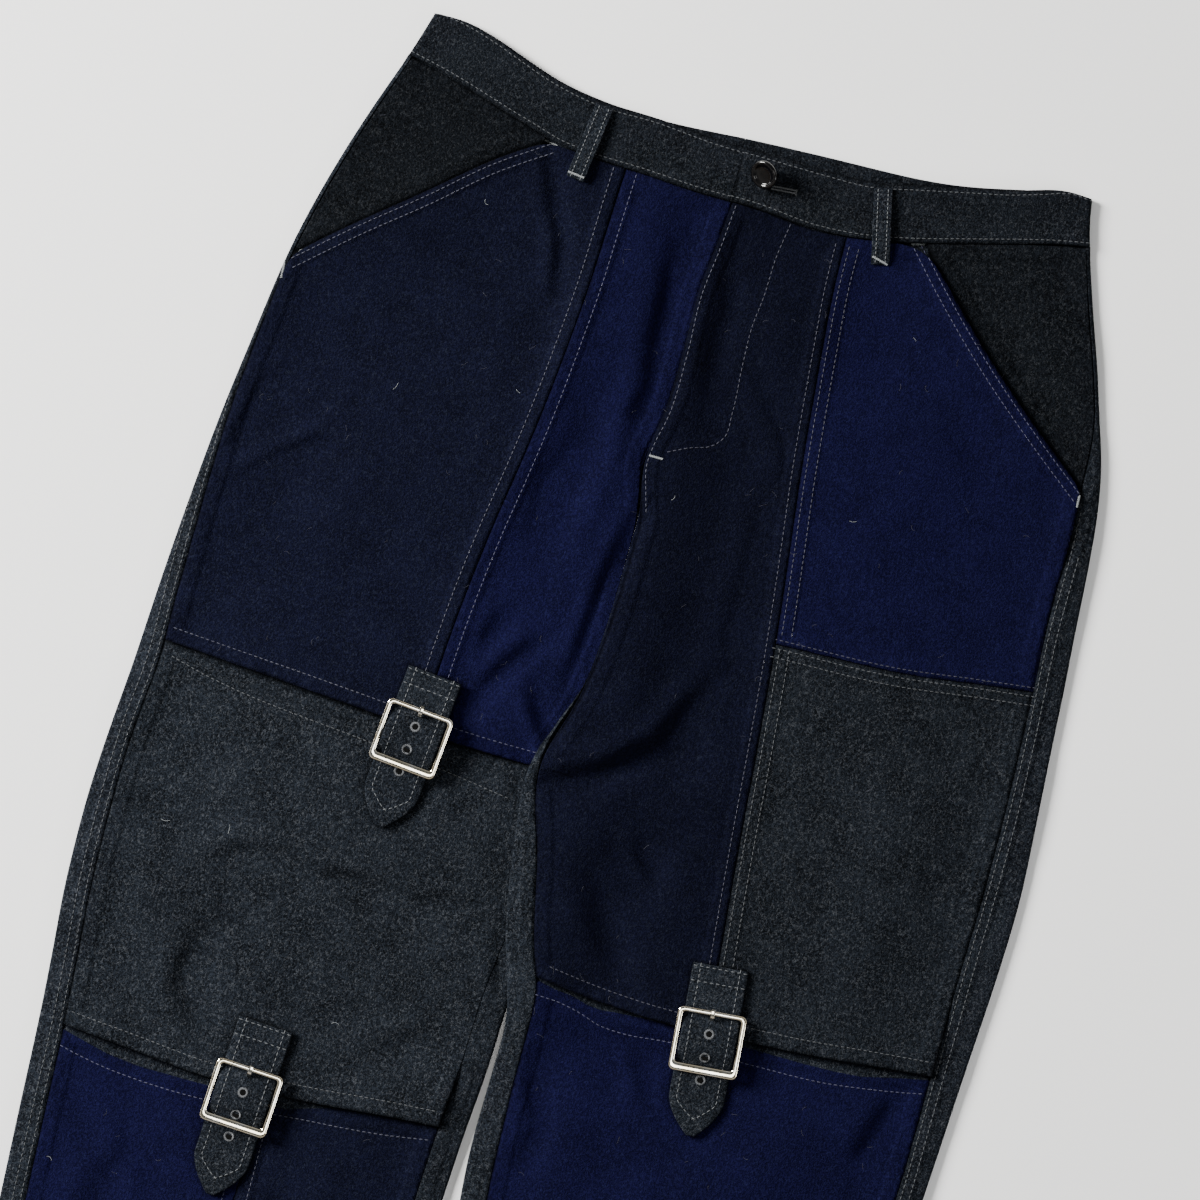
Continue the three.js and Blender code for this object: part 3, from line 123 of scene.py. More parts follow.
# The room is brown at the table, pale above that and grey overhead, for the metal to mirror
world = bpy.data.worlds.new("studio")
bpy.context.scene.world = world
world.use_nodes = True
room, room_links = world.node_tree.nodes, world.node_tree.links
direction = room.new("ShaderNodeTexCoord")
height_of = room.new("ShaderNodeSeparateXYZ")
room_shade = room.new("ShaderNodeValToRGB")
room_links.new(direction.outputs["Generated"], height_of.inputs[0])
room_links.new(height_of.outputs["Z"], room_shade.inputs[0])
room_links.new(room_shade.outputs[0], room["Background"].inputs["Color"])
stops = room_shade.color_ramp.elements
stops.new(0.34)
shades = [(0.10, (0.34, 0.24, 0.15, 1)), (0.34, (1.0, 0.97, 0.92, 1)), (0.80, (0.22, 0.23, 0.24, 1))]
for stop, (place, colour) in zip(stops, shades):
    stop.position, stop.color = place, colour
room["Background"].inputs["Strength"].default_value = 0.6

# %% [markdown]
# ## Writing finishes as sums
# A finish is a small graph of nodes. Written out node by node it is hard to follow, so one
# class wraps a socket and turns Python's own + - * / into Math nodes, and one method adds
# any other node.

# %% A socket that can be added and multiplied


class Signal:
    def __init__(self, finish, socket):
        self.finish, self.socket = finish, socket

    def math(self, operation, *others, turned=False):
        values = (*others, self) if turned else (self, *others)
        return self.finish.node("ShaderNodeMath", dict(enumerate(values)), operation=operation)

    def __add__(self, other):
        return self.math("ADD", other)

    __radd__ = __add__

    def __mul__(self, other):
        return self.math("MULTIPLY", other)

    def __sub__(self, other):
        return self.math("SUBTRACT", other)

    def __rsub__(self, other):
        return self.math("SUBTRACT", other, turned=True)

    def __truediv__(self, other):
        return self.math("DIVIDE", other)

    def bell(self, width):
        scaled = self / width
        return (scaled * scaled * -1).math("EXPONENT")

    def step(self, low, high):
        ends = {"Value": self, "From Min": low, "From Max": high}
        return self.finish.node("ShaderNodeMapRange", ends, interpolation_type="SMOOTHSTEP")


# %% A finish, which is a material under construction


class Finish:
    def __init__(self, name, colour):
        self.material = bpy.data.materials.new(name)
        self.material.use_nodes = True
        self.tree = self.material.node_tree
        self.shader = self.tree.nodes["Principled BSDF"]
        self.material.diffuse_color = (*colour, 1)

    def node(self, kind, inputs=None, out=0, **settings):
        made = self.tree.nodes.new(kind)
        for key, value in settings.items():
            setattr(made, key, value)
        for key, value in (inputs or {}).items():
            self.join(value, made.inputs[key])
        return Signal(self, made.outputs[out])

    def join(self, value, socket):
        if isinstance(value, Signal):
            self.tree.links.new(value.socket, socket)
        elif socket.type == "RGBA" and len(value) == 3:
            socket.default_value = (*value, 1)
        else:
            socket.default_value = value

    def set(self, values):
        for name, value in values.items():
            self.join(value, self.shader.inputs[name])

    def noise(self, size, detail=2.0, stretch=None, rough=0.5):
        """Noise between 0 and 1 whose blotches are about size millimetres wide."""
        where = self.node("ShaderNodeTexCoord", out="Object")
        if stretch:
            where = self.node("ShaderNodeMapping", {"Vector": where, "Scale": stretch})
        inputs = {"Vector": where, "Scale": 1000 / size, "Detail": detail, "Roughness": rough}
        return self.node("ShaderNodeTexNoise", inputs)

    def blend(self, amount, a, b):
        inputs = {0: amount, 6: a, 7: b}
        return self.node("ShaderNodeMix", inputs, out=2, data_type="RGBA")

    def bump(self, height, depth):
        """Raises the surface by height times depth, which is in millimetres."""
        inputs = {"Height": height, "Distance": depth / 1000}
        self.set({"Normal": self.node("ShaderNodeBump", inputs)})


# %% [markdown]
# ## Wool
# The cloths are felted woollens. Their yarn is spun from fibres of several shades, so close
# up they are speckled, and from afar they look like one soft dark tone. Noise gives the
# specks, and the lines along which a noise crosses its middle value give curled pale fibres.
# Every mesh carries three distances in millimetres: to the nearest seam, which makes the
# hollow of the seam and its puckers and paints shade into that hollow, to the edge of a strap
# or panel that lies over the cloth, along which a shadow is painted, and past the folded top
# edge of a shin panel, where a charcoal facing shows. A fourth value is painted shade: some
# pieces are painted darker, and all are painted a little darker towards the waist.

# %% Wool finish


def yarn_colour(cloth, mean, contrast, pale, flecks):
    """mean is the cloth's middle colour, contrast how far its yarns differ from that."""
    dark = tuple(c * (1 - contrast) for c in mean)
    light = tuple(c * (1 + 1.6 * contrast) for c in mean)
    specks = cloth.noise(1.5, 1.0, rough=0.6).step(0.38, 0.64)
    grain = cloth.noise(0.75, 1.0).step(0.32, 0.68)
    clouds = cloth.noise(24, 3.0).step(0.3, 0.7)
    colour = cloth.blend(specks * 0.46 + grain * 0.34 + clouds * 0.20, dark, light)
    fibres = 0
    for size, width in ((2.3, 0.045), (3.4, 0.035)):
        curl = (cloth.noise(size, 2.0) - 0.5).math("ABSOLUTE")
        part = cloth.noise(size * 0.9, 1.0, stretch=(1.3, 0.8, 1)).step(0.5, 0.6)
        fibres = fibres + (1 - curl.step(0.0, width)) * part
    return cloth.blend(fibres.math("MINIMUM", 1.0) * flecks, colour, pale), specks, grain, clouds


YARNS = {
    "charcoal_wool": ((0.0048, 0.0061, 0.0084), 0.85, (0.045, 0.049, 0.056), 0.62),
    "navy_wool": ((0.0021, 0.0020, 0.0127), 0.50, (0.010, 0.012, 0.044), 0.34),
    "ink_wool": ((0.0021, 0.0025, 0.0078), 0.55, (0.014, 0.017, 0.030), 0.38),
}


def wool(name):
    mean = YARNS[name][0]
    cloth = Finish(name, mean)
    colour, specks, grain, clouds = yarn_colour(cloth, *YARNS[name])

    def distance(fact):
        return cloth.node("ShaderNodeAttribute", out="Fac", attribute_name=fact)

    if name != "charcoal_wool":
        facing, *_ = yarn_colour(cloth, *YARNS["charcoal_wool"])
        colour = cloth.blend(distance("facing_mm").step(0.2, 0.6), colour, facing)
    seam, shadow_edge = distance("seam_mm"), distance("shadow_edge_mm")
    # Painted shade: the cloth is darkened towards black by its painted lightness
    colour = cloth.blend(distance("nap"), (0, 0, 0), colour)
    # Painted shade in the hollow of each seam, besides the groove in the bump
    groove = seam.bell(1.2)
    # Painted shadow along the edges of straps and of panels that lie over the cloth
    shade = (groove * 0.7).math("MAXIMUM", shadow_edge.bell(2.6) * 0.9)
    colour = cloth.blend(shade, colour, tuple(0.12 * c for c in mean))
    ridge = 1 - seam.step(8.5, 12.5)
    puckers = cloth.noise(8, 1.0) * seam.bell(11)
    height = grain * 0.10 + specks * 0.14 + clouds * 0.25 + ridge * 0.7 - groove * 0.8 + puckers * 1.8
    cloth.set({
        "Base Color": colour, "Roughness": 0.95, "Specular IOR Level": 0.03, "Sheen Weight": 0.012,
        "Sheen Roughness": 0.45, "Sheen Tint": tuple(min(1, 20 * c + 0.1) for c in mean),
    })
    cloth.bump(height, 1.0)
    return cloth.material


CLOTHS = {name: wool(name) for name in YARNS}
CHARCOAL = CLOTHS["charcoal_wool"]
print("wools", list(CLOTHS))

# %% [markdown]
# ## Thread, metal, horn and the table
# Thread has a soft twist, so a fine stripe runs round each stitch. The buckles are polished
# nickel with a warm cast and light wear. The button is dark horn with paler streaks.

# %% Other finishes


def thread(name, colour):
    yarn = Finish(name, colour)
    twist = yarn.noise(0.5, 1.0).step(0.3, 0.7)
    shade = yarn.blend(twist, tuple(0.7 * c for c in colour), colour)
    yarn.set({"Base Color": shade, "Roughness": 0.75, "Sheen Weight": 0.1})
    return yarn.material


THREAD_COLOURS = {
    "grey": (0.035, 0.039, 0.044), "strap": (0.072, 0.078, 0.084), "pale": (0.200, 0.215, 0.220),
    "navy": (0.024, 0.025, 0.062), "ink": (0.027, 0.029, 0.050), "dim": (0.016, 0.017, 0.034),
    "eyelet": (0.085, 0.090, 0.098),
}
THREADS = {name: thread(f"{name}_thread", colour) for name, colour in THREAD_COLOURS.items()}

nickel = Finish("nickel", (0.80, 0.75, 0.68))
wear = nickel.noise(7, 4.0).step(0.4, 0.75)
scratches = nickel.noise(0.6, 2.0, stretch=(0.2, 1, 1)).step(0.55, 0.8)
nickel.set({
    "Base Color": nickel.blend(wear, (0.84, 0.76, 0.58), (0.95, 0.94, 0.88)), "Metallic": 1.0,
    "Roughness": 0.06 + scratches * 0.07 + wear * 0.04,
})
nickel.bump(nickel.noise(9, 2.0), 0.08)
NICKEL = nickel.material

horn = Finish("horn", (0.01, 0.009, 0.008))
streaks = horn.noise(5, 4.0, stretch=(0.35, 1, 1), rough=0.6).step(0.5, 0.85)
horn.set({
    "Base Color": horn.blend(streaks, (0.0010, 0.0010, 0.0012), (0.004, 0.0036, 0.0034)),
    "Roughness": 0.13, "Specular IOR Level": 0.22, "Coat Weight": 0.25, "Coat Roughness": 0.03,
})
HORN = horn.material

# Near-black finish for the holes of the button and the eyelets: painted shade where a hole is deep
shadow = Finish("hole_shade", (0.003, 0.003, 0.003))
hole_shade_tones = shadow.blend(shadow.noise(0.8), (0.002, 0.002, 0.002), (0.006, 0.006, 0.006))
shadow.set({"Base Color": hole_shade_tones, "Roughness": 0.9, "Specular IOR Level": 0.0})
HOLE_SHADE = shadow.material

table_finish = Finish("table", (0.8, 0.8, 0.8))
grain = table_finish.blend(table_finish.noise(3, 2.0), (0.80, 0.80, 0.80), (0.82, 0.82, 0.82))
table_finish.set({"Base Color": grain, "Roughness": 0.85})

floor_mesh = bpy.data.meshes.new("table_top")
corners = [(x, y, -0.0002) for x, y in ((-4, -4), (4, -4), (4, 4), (-4, 4))]
floor_mesh.from_pydata(corners, [], [(0, 1, 2, 3)])
floor_mesh.materials.append(table_finish.material)
put("table_top", floor_mesh)

# %% [markdown]
# ## Seam lines
# Topstitching follows the seams, so the seams come first, as short tables of points. A line
# is smoothed once, and a row of stitches is that line moved sideways by so many millimetres.

# %% Lines of the pattern


def smooth_line(points, step=2.0):
    """A smooth line through the points, with a point about every step millimetres."""
    knots = np.array(points, float)
    spans = np.linalg.norm(np.diff(knots, axis=0), axis=1)
    at = np.concatenate([[0], np.cumsum(spans)])
    slopes = np.gradient(knots, at, axis=0)
    fine = np.linspace(0, at[-1], int(at[-1] / step) + 1)
    k = np.clip(np.searchsorted(at, fine, side="right") - 1, 0, len(spans) - 1)
    h = spans[k][:, None]
    t = (fine - at[k])[:, None] / h
    a, b, m, n = knots[k], knots[k + 1], slopes[k], slopes[k + 1]
    return (a * (2 * t**3 - 3 * t**2 + 1) + b * (3 * t**2 - 2 * t**3)
            + h * m * (t**3 - 2 * t**2 + t) + h * n * (t**3 - t**2))


def beside(line, distance):
    """The line moved to its left, seen along its direction."""
    ahead = np.gradient(line, axis=0)
    ahead /= np.linalg.norm(ahead, axis=1)[:, None]
    return line + distance * np.stack([-ahead[:, 1], ahead[:, 0]], axis=1)


# Every line runs down, or from the middle of the garment to its side
LINES = {
    "seam_right": [(-72, -42), (-73, -80), (-74, -120), (-77, -165), (-81, -210), (-87.5, -262),
        (-93, -300), (-101.5, -400), (-102.5, -443)],
    "seam_left": [(84, -46), (85, -80), (88.5, -120), (93, -165), (98, -210), (105, -262),
        (114.5, -340), (120.5, -400), (125, -450), (130, -500), (136.5, -560), (140, -587)],
    "shin_seam": [(-139, -706), (-137, -760), (-141, -900), (-145, -1035)],
    "hip_seam": [(112, -322), (200, -318), (250, -311), (289, -306)],
    "upper_slit": [(6, -446), (-80, -445), (-130, -441), (-284, -431)],
    "lower_slit": [(-19, -697), (-60, -700), (-100, -704), (-170, -707), (-240, -702),
        (-280, -699)],
    "left_slit": [(21, -581), (60, -586), (119, -588), (168, -585), (200, -583), (250, -578),
        (294, -574)],
    "mouth_right": [(-128, -37.5), (-160, -60), (-200, -95), (-240, -128), (-275, -159)],
    "mouth_left": [(137, -35), (160, -60), (200, -99), (240, -133), (284, -167)],
    "fly": [(3.5, -42), (1, -75), (-2.5, -110), (-1, -150), (-2, -195), (-6, -215), (-7, -230),
        (-2, -250), (2.8, -266)],
    "side_right": [(-274.7, -162), (-279.5, -210), (-284.2, -262), (-285.4, -300), (-285.2, -400),
        (-284.5, -446), (-288.7, -500), (-289.2, -550), (-287.2, -605), (-283.2, -650),
        (-279.2, -700), (-276, -760), (-268, -900), (-257.7, -1035)],
    "side_left": [(282.7, -166), (284.7, -210), (285.2, -262), (290.2, -340), (292.7, -400),
        (293.2, -450), (292.7, -500), (292.7, -560), (292.7, -605), (292.7, -650), (290, -700),
        (286, -760), (277, -900), (265.7, -1035)],
    "band_lap": [(1.5, -6), (2.5, -24), (3.5, -42)],
    "crotch": [(3, -268), (3, -300), (2, -340), (-5.6, -400), (-14, -426)],
    "band": [(-232, -7.5), (-205, -13.5), (-180, -20.5), (-160, -26.5), (-140, -32), (-120, -37.5),
        (-100, -40), (-60, -41), (-20, -43), (20, -43), (60, -46), (90, -44), (120, -38.5),
        (140, -33.5), (160, -28), (180, -22.5), (200, -17), (222, -11.5), (242, -7.5)],
    "band_top": [(-232, 26), (-222, 28), (-205, 26.5), (-180, 20), (-160, 13), (-140, 6), (-120, 1),
        (-100, -2), (-60, -2.5), (-20, -5.5), (20, -6), (60, -6), (90, -5), (120, 1.5), (140, 6),
        (160, 10.5), (180, 15), (200, 21), (222, 27.5), (238, 26.5)],
    "inner_left": [(3, -300), (2, -340), (-5.6, -400), (-18.5, -440), (-4, -500), (10.3, -560),
        (21.3, -590), (22.8, -620), (24.8, -700), (29.3, -760), (38.3, -1035)],
    "inner_right": [(-14, -660), (-17.8, -700), (-20.3, -760), (-30.3, -1035)],
}
SEAMS = {name: smooth_line(points) for name, points in LINES.items()}

nearest_seam = kdtree.KDTree(sum(len(line) for line in SEAMS.values()))
for line in SEAMS.values():
    for x, y in line:
        nearest_seam.insert((x, y, 0), 0)
nearest_seam.balance()
print("seam lines", len(SEAMS))

# %% [markdown]
# ## Panels of cloth
# A panel arrives as a flat-sided cage with a grid of about 22 mm. Its triangles are merged
# back into four-sided faces, its rims get a small rounded edge, and a subdivision surface
# gives it the soft run of real cloth. After that its points are moved: long folds are in
# the cage already, so here come only the smaller creases and a slight unevenness.

# %% Small creases
CREASE_DEPTH = 1.7
# height, half-width and run in millimetres; the lit side is to the left of the run
CREASES = [
    (-3.4, 8, [(-22, -464), (25, -437), (61, -413), (80, -360)]),
    (-1.8, 9, [(73, -562), (54, -532), (38, -512)]), (-1.5, 6, [(81, -497), (62, -474)]),
    (-1.5, 6, [(49, -706), (48, -678), (32, -640)]), (-2.0, 9, [(264, -648), (281, -598)]),
    (-1.4, 7, [(118, -641), (104, -606)]), (-1.0, 6, [(51, -609), (104, -609)]),
    (-0.6, 8, [(267, -472), (258, -440)]), (-1.8, 7, [(-215, -570), (-191, -554), (-156, -555)]),
    (-1.8, 5, [(-156, -555), (-99, -555), (-77, -559), (-31, -549)]),
    (-2.0, 9, [(-183, -680), (-205, -651), (-203, -612)]), (-1.4, 9, [(-81, -669), (-33, -641)]),
    (-1.6, 5, [(-4, -594), (-11, -579)]), (-1.0, 8, [(-187, -790), (-224, -748)]),
    (-1.8, 5, [(-91, -136), (-99, -98), (-125, -46)]), (-1.4, 7, [(-270, -293), (-263, -246)]),
    (-1.7, 6, [(-268, -322), (-240, -297), (-211, -269)]),
    (-2.4, 9, [(-18, -213), (-8, -182), (-19, -87)]),
    (-1.6, 12, [(-52, -300), (-56, -262), (-34, -213)]), (-1.2, 7, [(-266, -150), (-262, -122)]),
    (-1.1, 8, [(22, -176), (21, -138), (14, -63)]), (-1.5, 8, [(98, -211), (81, -174), (52, -147)]),
    (-2.2, 6, [(-11, -382), (-4, -310), (3, -259)]), (-1.2, 12, [(93, -353), (91, -283), (87, -221)]),
    (-1.0, 7, [(203, -86), (161, -49)]), (-1.0, 7, [(267, -149), (246, -124)]),
    (-0.5, 9, [(99, -116), (101, -84)]), (-2.2, 6, [(-76, -418), (-59, -394), (-40, -362)]),
    (-1.9, 6, [(-8, -430), (-16, -420), (-34, -396)]), (-1.2, 6, [(-74, -376), (-66, -351)]),
    (-1.0, 10, [(-120, -860), (-100, -760)]), (-1.0, 10, [(-235, -860), (-215, -770)]),
    (-0.9, 11, [(220, -900), (240, -770)]), (-0.9, 11, [(100, -860), (130, -730)]),
    (-0.8, 10, [(70, -1000), (90, -900)]), (-0.8, 10, [(-190, -1000), (-170, -900)]),
]

# name, middle of the sewn end, lean in degrees, buckle's place, first eyelet, length, tip of buckle
STRAPS = [
    ("thigh_right", (-102.5, -404), 4.8, 46, 37.5, 109, 7),
    ("knee_right", (-148, -661.5), 2.6, 51.5, 47.5, 121, 2),
    ("knee_left", (136, -541), -5.4, 51.5, 45.5, 116, 3),
]
STRAP_HALF, STRAP_WALL, STRAP_POINT, EYELET_PITCH = 19, 3.0, 26, 16


def from_run(points, run):
    """Distance of pattern points from a broken line, positive on its left, and the part passed."""
    nearest = np.full(len(points), np.inf)
    signed, passed = np.zeros((2, len(points)))
    whole = sum(math.dist(a, b) for a, b in zip(run, run[1:]))
    done = 0
    for start, end in zip(run, run[1:]):
        start, ahead = np.array(start, float), np.subtract(end, start).astype(float)
        length = np.linalg.norm(ahead)
        ahead /= length
        offset = points - start
        along = offset @ ahead
        past = along - np.clip(along, 0, length)
        across = offset[:, 1] * ahead[0] - offset[:, 0] * ahead[1]
        away = np.hypot(across, past)
        closer = away < nearest
        nearest = np.where(closer, away, nearest)
        signed = np.where(closer, np.copysign(away, across), signed)
        passed = np.where(closer, (done + along - past) / whole, passed)
        done += length
    return signed, passed


def strap_half(down, length):
    """Half the strap's width so many millimetres down from its sewn end."""
    point = np.clip((down - length + STRAP_POINT) / STRAP_POINT, 0, 1)
    return STRAP_HALF * (1 - 0.86 * point**1.7)


def from_straps(points):
    """Distance of pattern points from the nearest strap, below 0 under it."""
    nearest = np.full(len(points), 40.0)
    for _, (x, y), lean, _, _, length, _ in STRAPS:
        turn = math.radians(lean)
        right, down = points[:, 0] - x, y - points[:, 1]
        across = right * math.cos(turn) + down * math.sin(turn)
        along = down * math.cos(turn) - right * math.sin(turn)
        aside = np.abs(across) - strap_half(along, length)
        nearest = np.minimum(nearest, np.maximum(aside, np.maximum(-along, along - length)))
    return nearest


def crease_height(points):
    """Height in millimetres that the small creases add: a furrow with a low ridge beside it."""
    total = np.zeros(len(points))
    wander = np.array([4.0 * noise.noise((x / 38, y / 38, 1.0)) for x, y in points])
    for height, half, run in CREASES:
        away, passed = from_run(points, run)
        away += wander
        taper = 0.25 + 0.75 * np.clip(4 * passed * (1 - passed) * 1.4, 0, 1)
        furrow = np.exp(-((away / half) ** 2))
        ridge = np.exp(-(((away - 1.9 * half) / (1.2 * half)) ** 2))
        total += height * taper * (furrow - 0.6 * ridge)
    return CREASE_DEPTH * total * np.clip((from_straps(points) - 4) / 10, 0, 1)


def ripple(x, y):
    """A slight unevenness, in millimetres, as cloth that was smoothed by hand has."""
    return 1.1 * noise.noise((x / 55, y / 80, 3.0)) + 0.25 * noise.noise((x / 17, y / 21, 9.0))


# %% Refine a panel


def cage(node):
    """A copy of a node's mesh with doubles merged and triangles joined to quads."""
    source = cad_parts[node]
    bm = bmesh.new()
    bm.from_mesh(source.data)
    bmesh.ops.transform(bm, matrix=source.matrix_world, verts=bm.verts)
    bmesh.ops.remove_doubles(bm, verts=bm.verts, dist=1e-6)
    bmesh.ops.join_triangles(bm, faces=bm.faces, angle_face_threshold=0.6, angle_shape_threshold=1.2)
    return bm


def round_rims(bm, angle, radius):
    """Bevels the edges that turn by more than the angle."""
    sharp = [e for e in bm.edges if e.is_manifold and e.calc_face_angle(0) > angle]
    bmesh.ops.bevel(bm, geom=sharp, offset=radius, segments=2, profile=0.6, affect="EDGES",
                    clamp_overlap=True)


def cone(bm, foot, top, depth, at, segments=20):
    bmesh.ops.create_cone(bm, cap_ends=True, segments=segments, radius1=foot, radius2=top,
                          depth=depth, matrix=at)


def closed(name, bm):
    """The finished mesh of a mesh under construction."""
    mesh = bpy.data.meshes.new(name)
    bm.to_mesh(mesh)
    bm.free()
    return mesh


def bridge(bm, a, b):
    """A band of faces between two rings of points."""
    for k in range(len(a)):
        after = (k + 1) % len(a)
        bm.faces.new((a[k], a[after], b[after], b[k]))


def shown(name, mesh, material, node=None, smooth=True):
    """An object of its own for a finished mesh, riding on the garment."""
    mesh.name = name
    mesh.materials.clear()
    mesh.materials.append(material)
    if smooth:
        mesh.polygons.foreach_set("use_smooth", [True] * len(mesh.polygons))
    made = put(name, mesh)
    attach(made, "root")
    if node:
        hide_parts(node)
    return made


def applied(carrier):
    """The mesh that an object has after its modifiers; the object itself is taken away."""
    depsgraph = bpy.context.evaluated_depsgraph_get()
    result = bpy.data.meshes.new_from_object(carrier.evaluated_get(depsgraph))
    bpy.data.objects.remove(carrier)
    return result


def evaluated_mesh(bm, levels):
    """The cage with rounded rims and a subdivision surface applied."""
    round_rims(bm, 1.05, 0.0006)
    carrier = put("carrier", closed("cage", bm))
    soften = carrier.modifiers.new("soften", "SUBSURF")
    soften.levels = soften.render_levels = levels
    return applied(carrier)


def mesh_points(mesh):
    flat = np.empty(len(mesh.vertices) * 3)
    mesh.vertices.foreach_get("co", flat)
    return flat.reshape(-1, 3)


def cut_size(mesh):
    """Flat size of a panel and half of its closed surface, which is the cloth's area."""
    width, length = (float(size) for size in np.ptp(mesh_points(mesh), axis=0)[:2])
    return width, length, 0.5 * sum(face.area for face in mesh.polygons)


# Cloth below COVERED rests on the table and stays; a front may not sink to FRONT_FLOOR.
# A facing sinks under the hem above it, and the backs reach up under the waistband.
COVERED, FRONT_FLOOR, FACING_SINK, BACK_REACH = 2.4, 5.0, 1.3, 1.8
# The folded top edges of the shin panels, which show below the hems above them
TOP_EDGES = {
    "right": [(-290, -702), (-278, -703.5), (-247, -711), (-223, -713.5), (-177, -713),
        (-121, -714.5), (-107, -710), (-90, -705), (-70, -700), (0, -692)],
    "left": [(0, -581), (18, -583.5), (33, -586.6), (46, -588), (56, -591), (66, -592),
        (79, -590.6), (117, -588.5), (168, -589.7), (208, -589.6), (228, -589), (247, -587.5),
        (275, -581), (310, -574)],
}
# Which edge lies over a node's cloth; a shadow is painted along it
OVER = {
    "front_right_knee": "upper_slit", "front_right_shin_outer": "lower_slit",
    "front_right_shin_inner": "lower_slit", "front_left_shin": "left_slit", "back_right": "crotch",
    "back_left": "crotch", "pocket_facing_right": "mouth_right", "pocket_facing_left": "mouth_left",
}

# Painted shade: how bright each node's cloth is painted, besides a painted fall of light towards the
# waist
PAINTED_SHADE = {"pocket_facing_right": 0.44, "pocket_facing_left": 0.55, "waistband_right": 0.76,
       "waistband_left": 0.76, "front_left_thigh": 0.84, "front_left_centre": 0.78}
SHADE_FALL, FALL_TOP, FALL_RUN = 0.13, -60, 360


def set_fact(mesh, name, values):
    fact = mesh.attributes.get(name) or mesh.attributes.new(name, "FLOAT", "POINT")
    spread = np.broadcast_to(np.asarray(values, float), len(mesh.vertices))
    fact.data.foreach_set("value", spread.copy())


def plain_facts(mesh):
    """A small piece of cloth is far from every seam and edge."""
    for name, value in (("seam_mm", 40), ("shadow_edge_mm", 40), ("facing_mm", -40), ("nap", 1)):
        set_fact(mesh, name, value)


def dress_panel(node, slot="charcoal_wool", levels=2, creased=True):
    """One panel: cage, subdivision, small creases and its distances; the size of its cut is worked out
    too.
    """
    mesh = evaluated_mesh(cage(node), levels)
    points = mesh_points(mesh)
    pattern = (points[:, :2] - (PATTERN_X, PATTERN_Y)) * 1000
    height = points[:, 2] * 1000
    is_back = node.startswith("back")
    plain_facts(mesh)
    # Painted shade: some pieces are painted darker, and all a little darker towards the waist
    down_leg = np.clip((FALL_TOP - pattern[:, 1]) / FALL_RUN, 0, 1)
    set_fact(mesh, "nap", PAINTED_SHADE.get(node, 1) * (1 - SHADE_FALL + SHADE_FALL * down_leg))
    set_fact(mesh, "seam_mm", [nearest_seam.find((x, y, 0))[2] for x, y in pattern])
    # Distance to the nearest strap edge, or to the edge lying over the cloth, for the painted shadow
    shadow_edge = np.maximum(from_straps(pattern), 0) + 1.2
    if node in OVER:
        shadow_edge = np.minimum(shadow_edge, np.abs(from_run(pattern, LINES[OVER[node]])[0]))
    set_fact(mesh, "shadow_edge_mm", shadow_edge)
    if creased:
        above = np.clip((height - COVERED) / 2, 0, 1)
        rise = above * (crease_height(pattern) + np.array([ripple(x, y) for x, y in pattern]))
        room = np.maximum(height - (COVERED if is_back else FRONT_FLOOR), 0.05)
        sunk = room * (np.exp(np.minimum(rise, 0) / room) - 1)
        points[:, 2] += np.where(rise < 0, sunk, rise) / 1000
    if "shin" in node:
        edge_x, edge_y = np.array(TOP_EDGES["left" if "left" in node else "right"], float).T
        facing = pattern[:, 1] - np.interp(pattern[:, 0], edge_x, edge_y)
        set_fact(mesh, "facing_mm", facing)
        points[:, 2] -= above * FACING_SINK * np.clip((facing + 0.8) / 2.0, 0, 1) / 1000
    if is_back:
        from_band = np.abs(from_run(pattern, LINES["band"])[0])
        points[:, 1] += BACK_REACH * np.clip(1.15 - from_band / 7, 0, 1) / 1000
    mesh.vertices.foreach_set("co", points.ravel())
    panel = shown(f"{node}_cloth", mesh, CLOTHS[slot], node)
    width, length, area = cut_size(mesh)
    if area > width * length:
        length = area / width * 1.01
    return panel


PANELS = [
    ("front_right_thigh", "ink_wool"), ("front_right_centre", "navy_wool"),
    ("front_right_knee", "charcoal_wool"), ("front_right_shin_outer", "navy_wool"),
    ("front_right_shin_inner", "ink_wool"), ("front_left_centre", "ink_wool"),
    ("front_left_hip", "navy_wool"), ("front_left_thigh", "charcoal_wool"),
    ("front_left_shin", "navy_wool"), ("pocket_facing_right", "charcoal_wool"),
    ("pocket_facing_left", "charcoal_wool"),
]
cloth_pieces = [dress_panel(node, slot, levels=3) for node, slot in PANELS]
cloth_pieces += [dress_panel(node) for node in ("back_right", "back_left")]
BANDS = ["waistband_right", "waistband_left"]
BANDS += [f"belt_loop_back_{side}" for side in ("right", "centre", "left")]
cloth_pieces += [dress_panel(node, creased=False) for node in BANDS]
print("panels", len(cloth_pieces))

# %% [markdown]
# ## Straps
# Each strap is a doubled strip of the charcoal wool with a pointed end. It is sewn down at
# the top, passes behind the buckle's frame and lies on the leg. Its run is read from the
# packed strap, smoothed, and a rounded strip is lofted along it. Eyelets and topstitching
# come later, as all stitches do.

# %% Lofts and rounded strips


def on_strap(strap, across, down):
    _, (x, y), lean, *_ = strap
    turn = math.radians(lean)
    return (x + across * math.cos(turn) - down * math.sin(turn),
            y - across * math.sin(turn) - down * math.cos(turn))


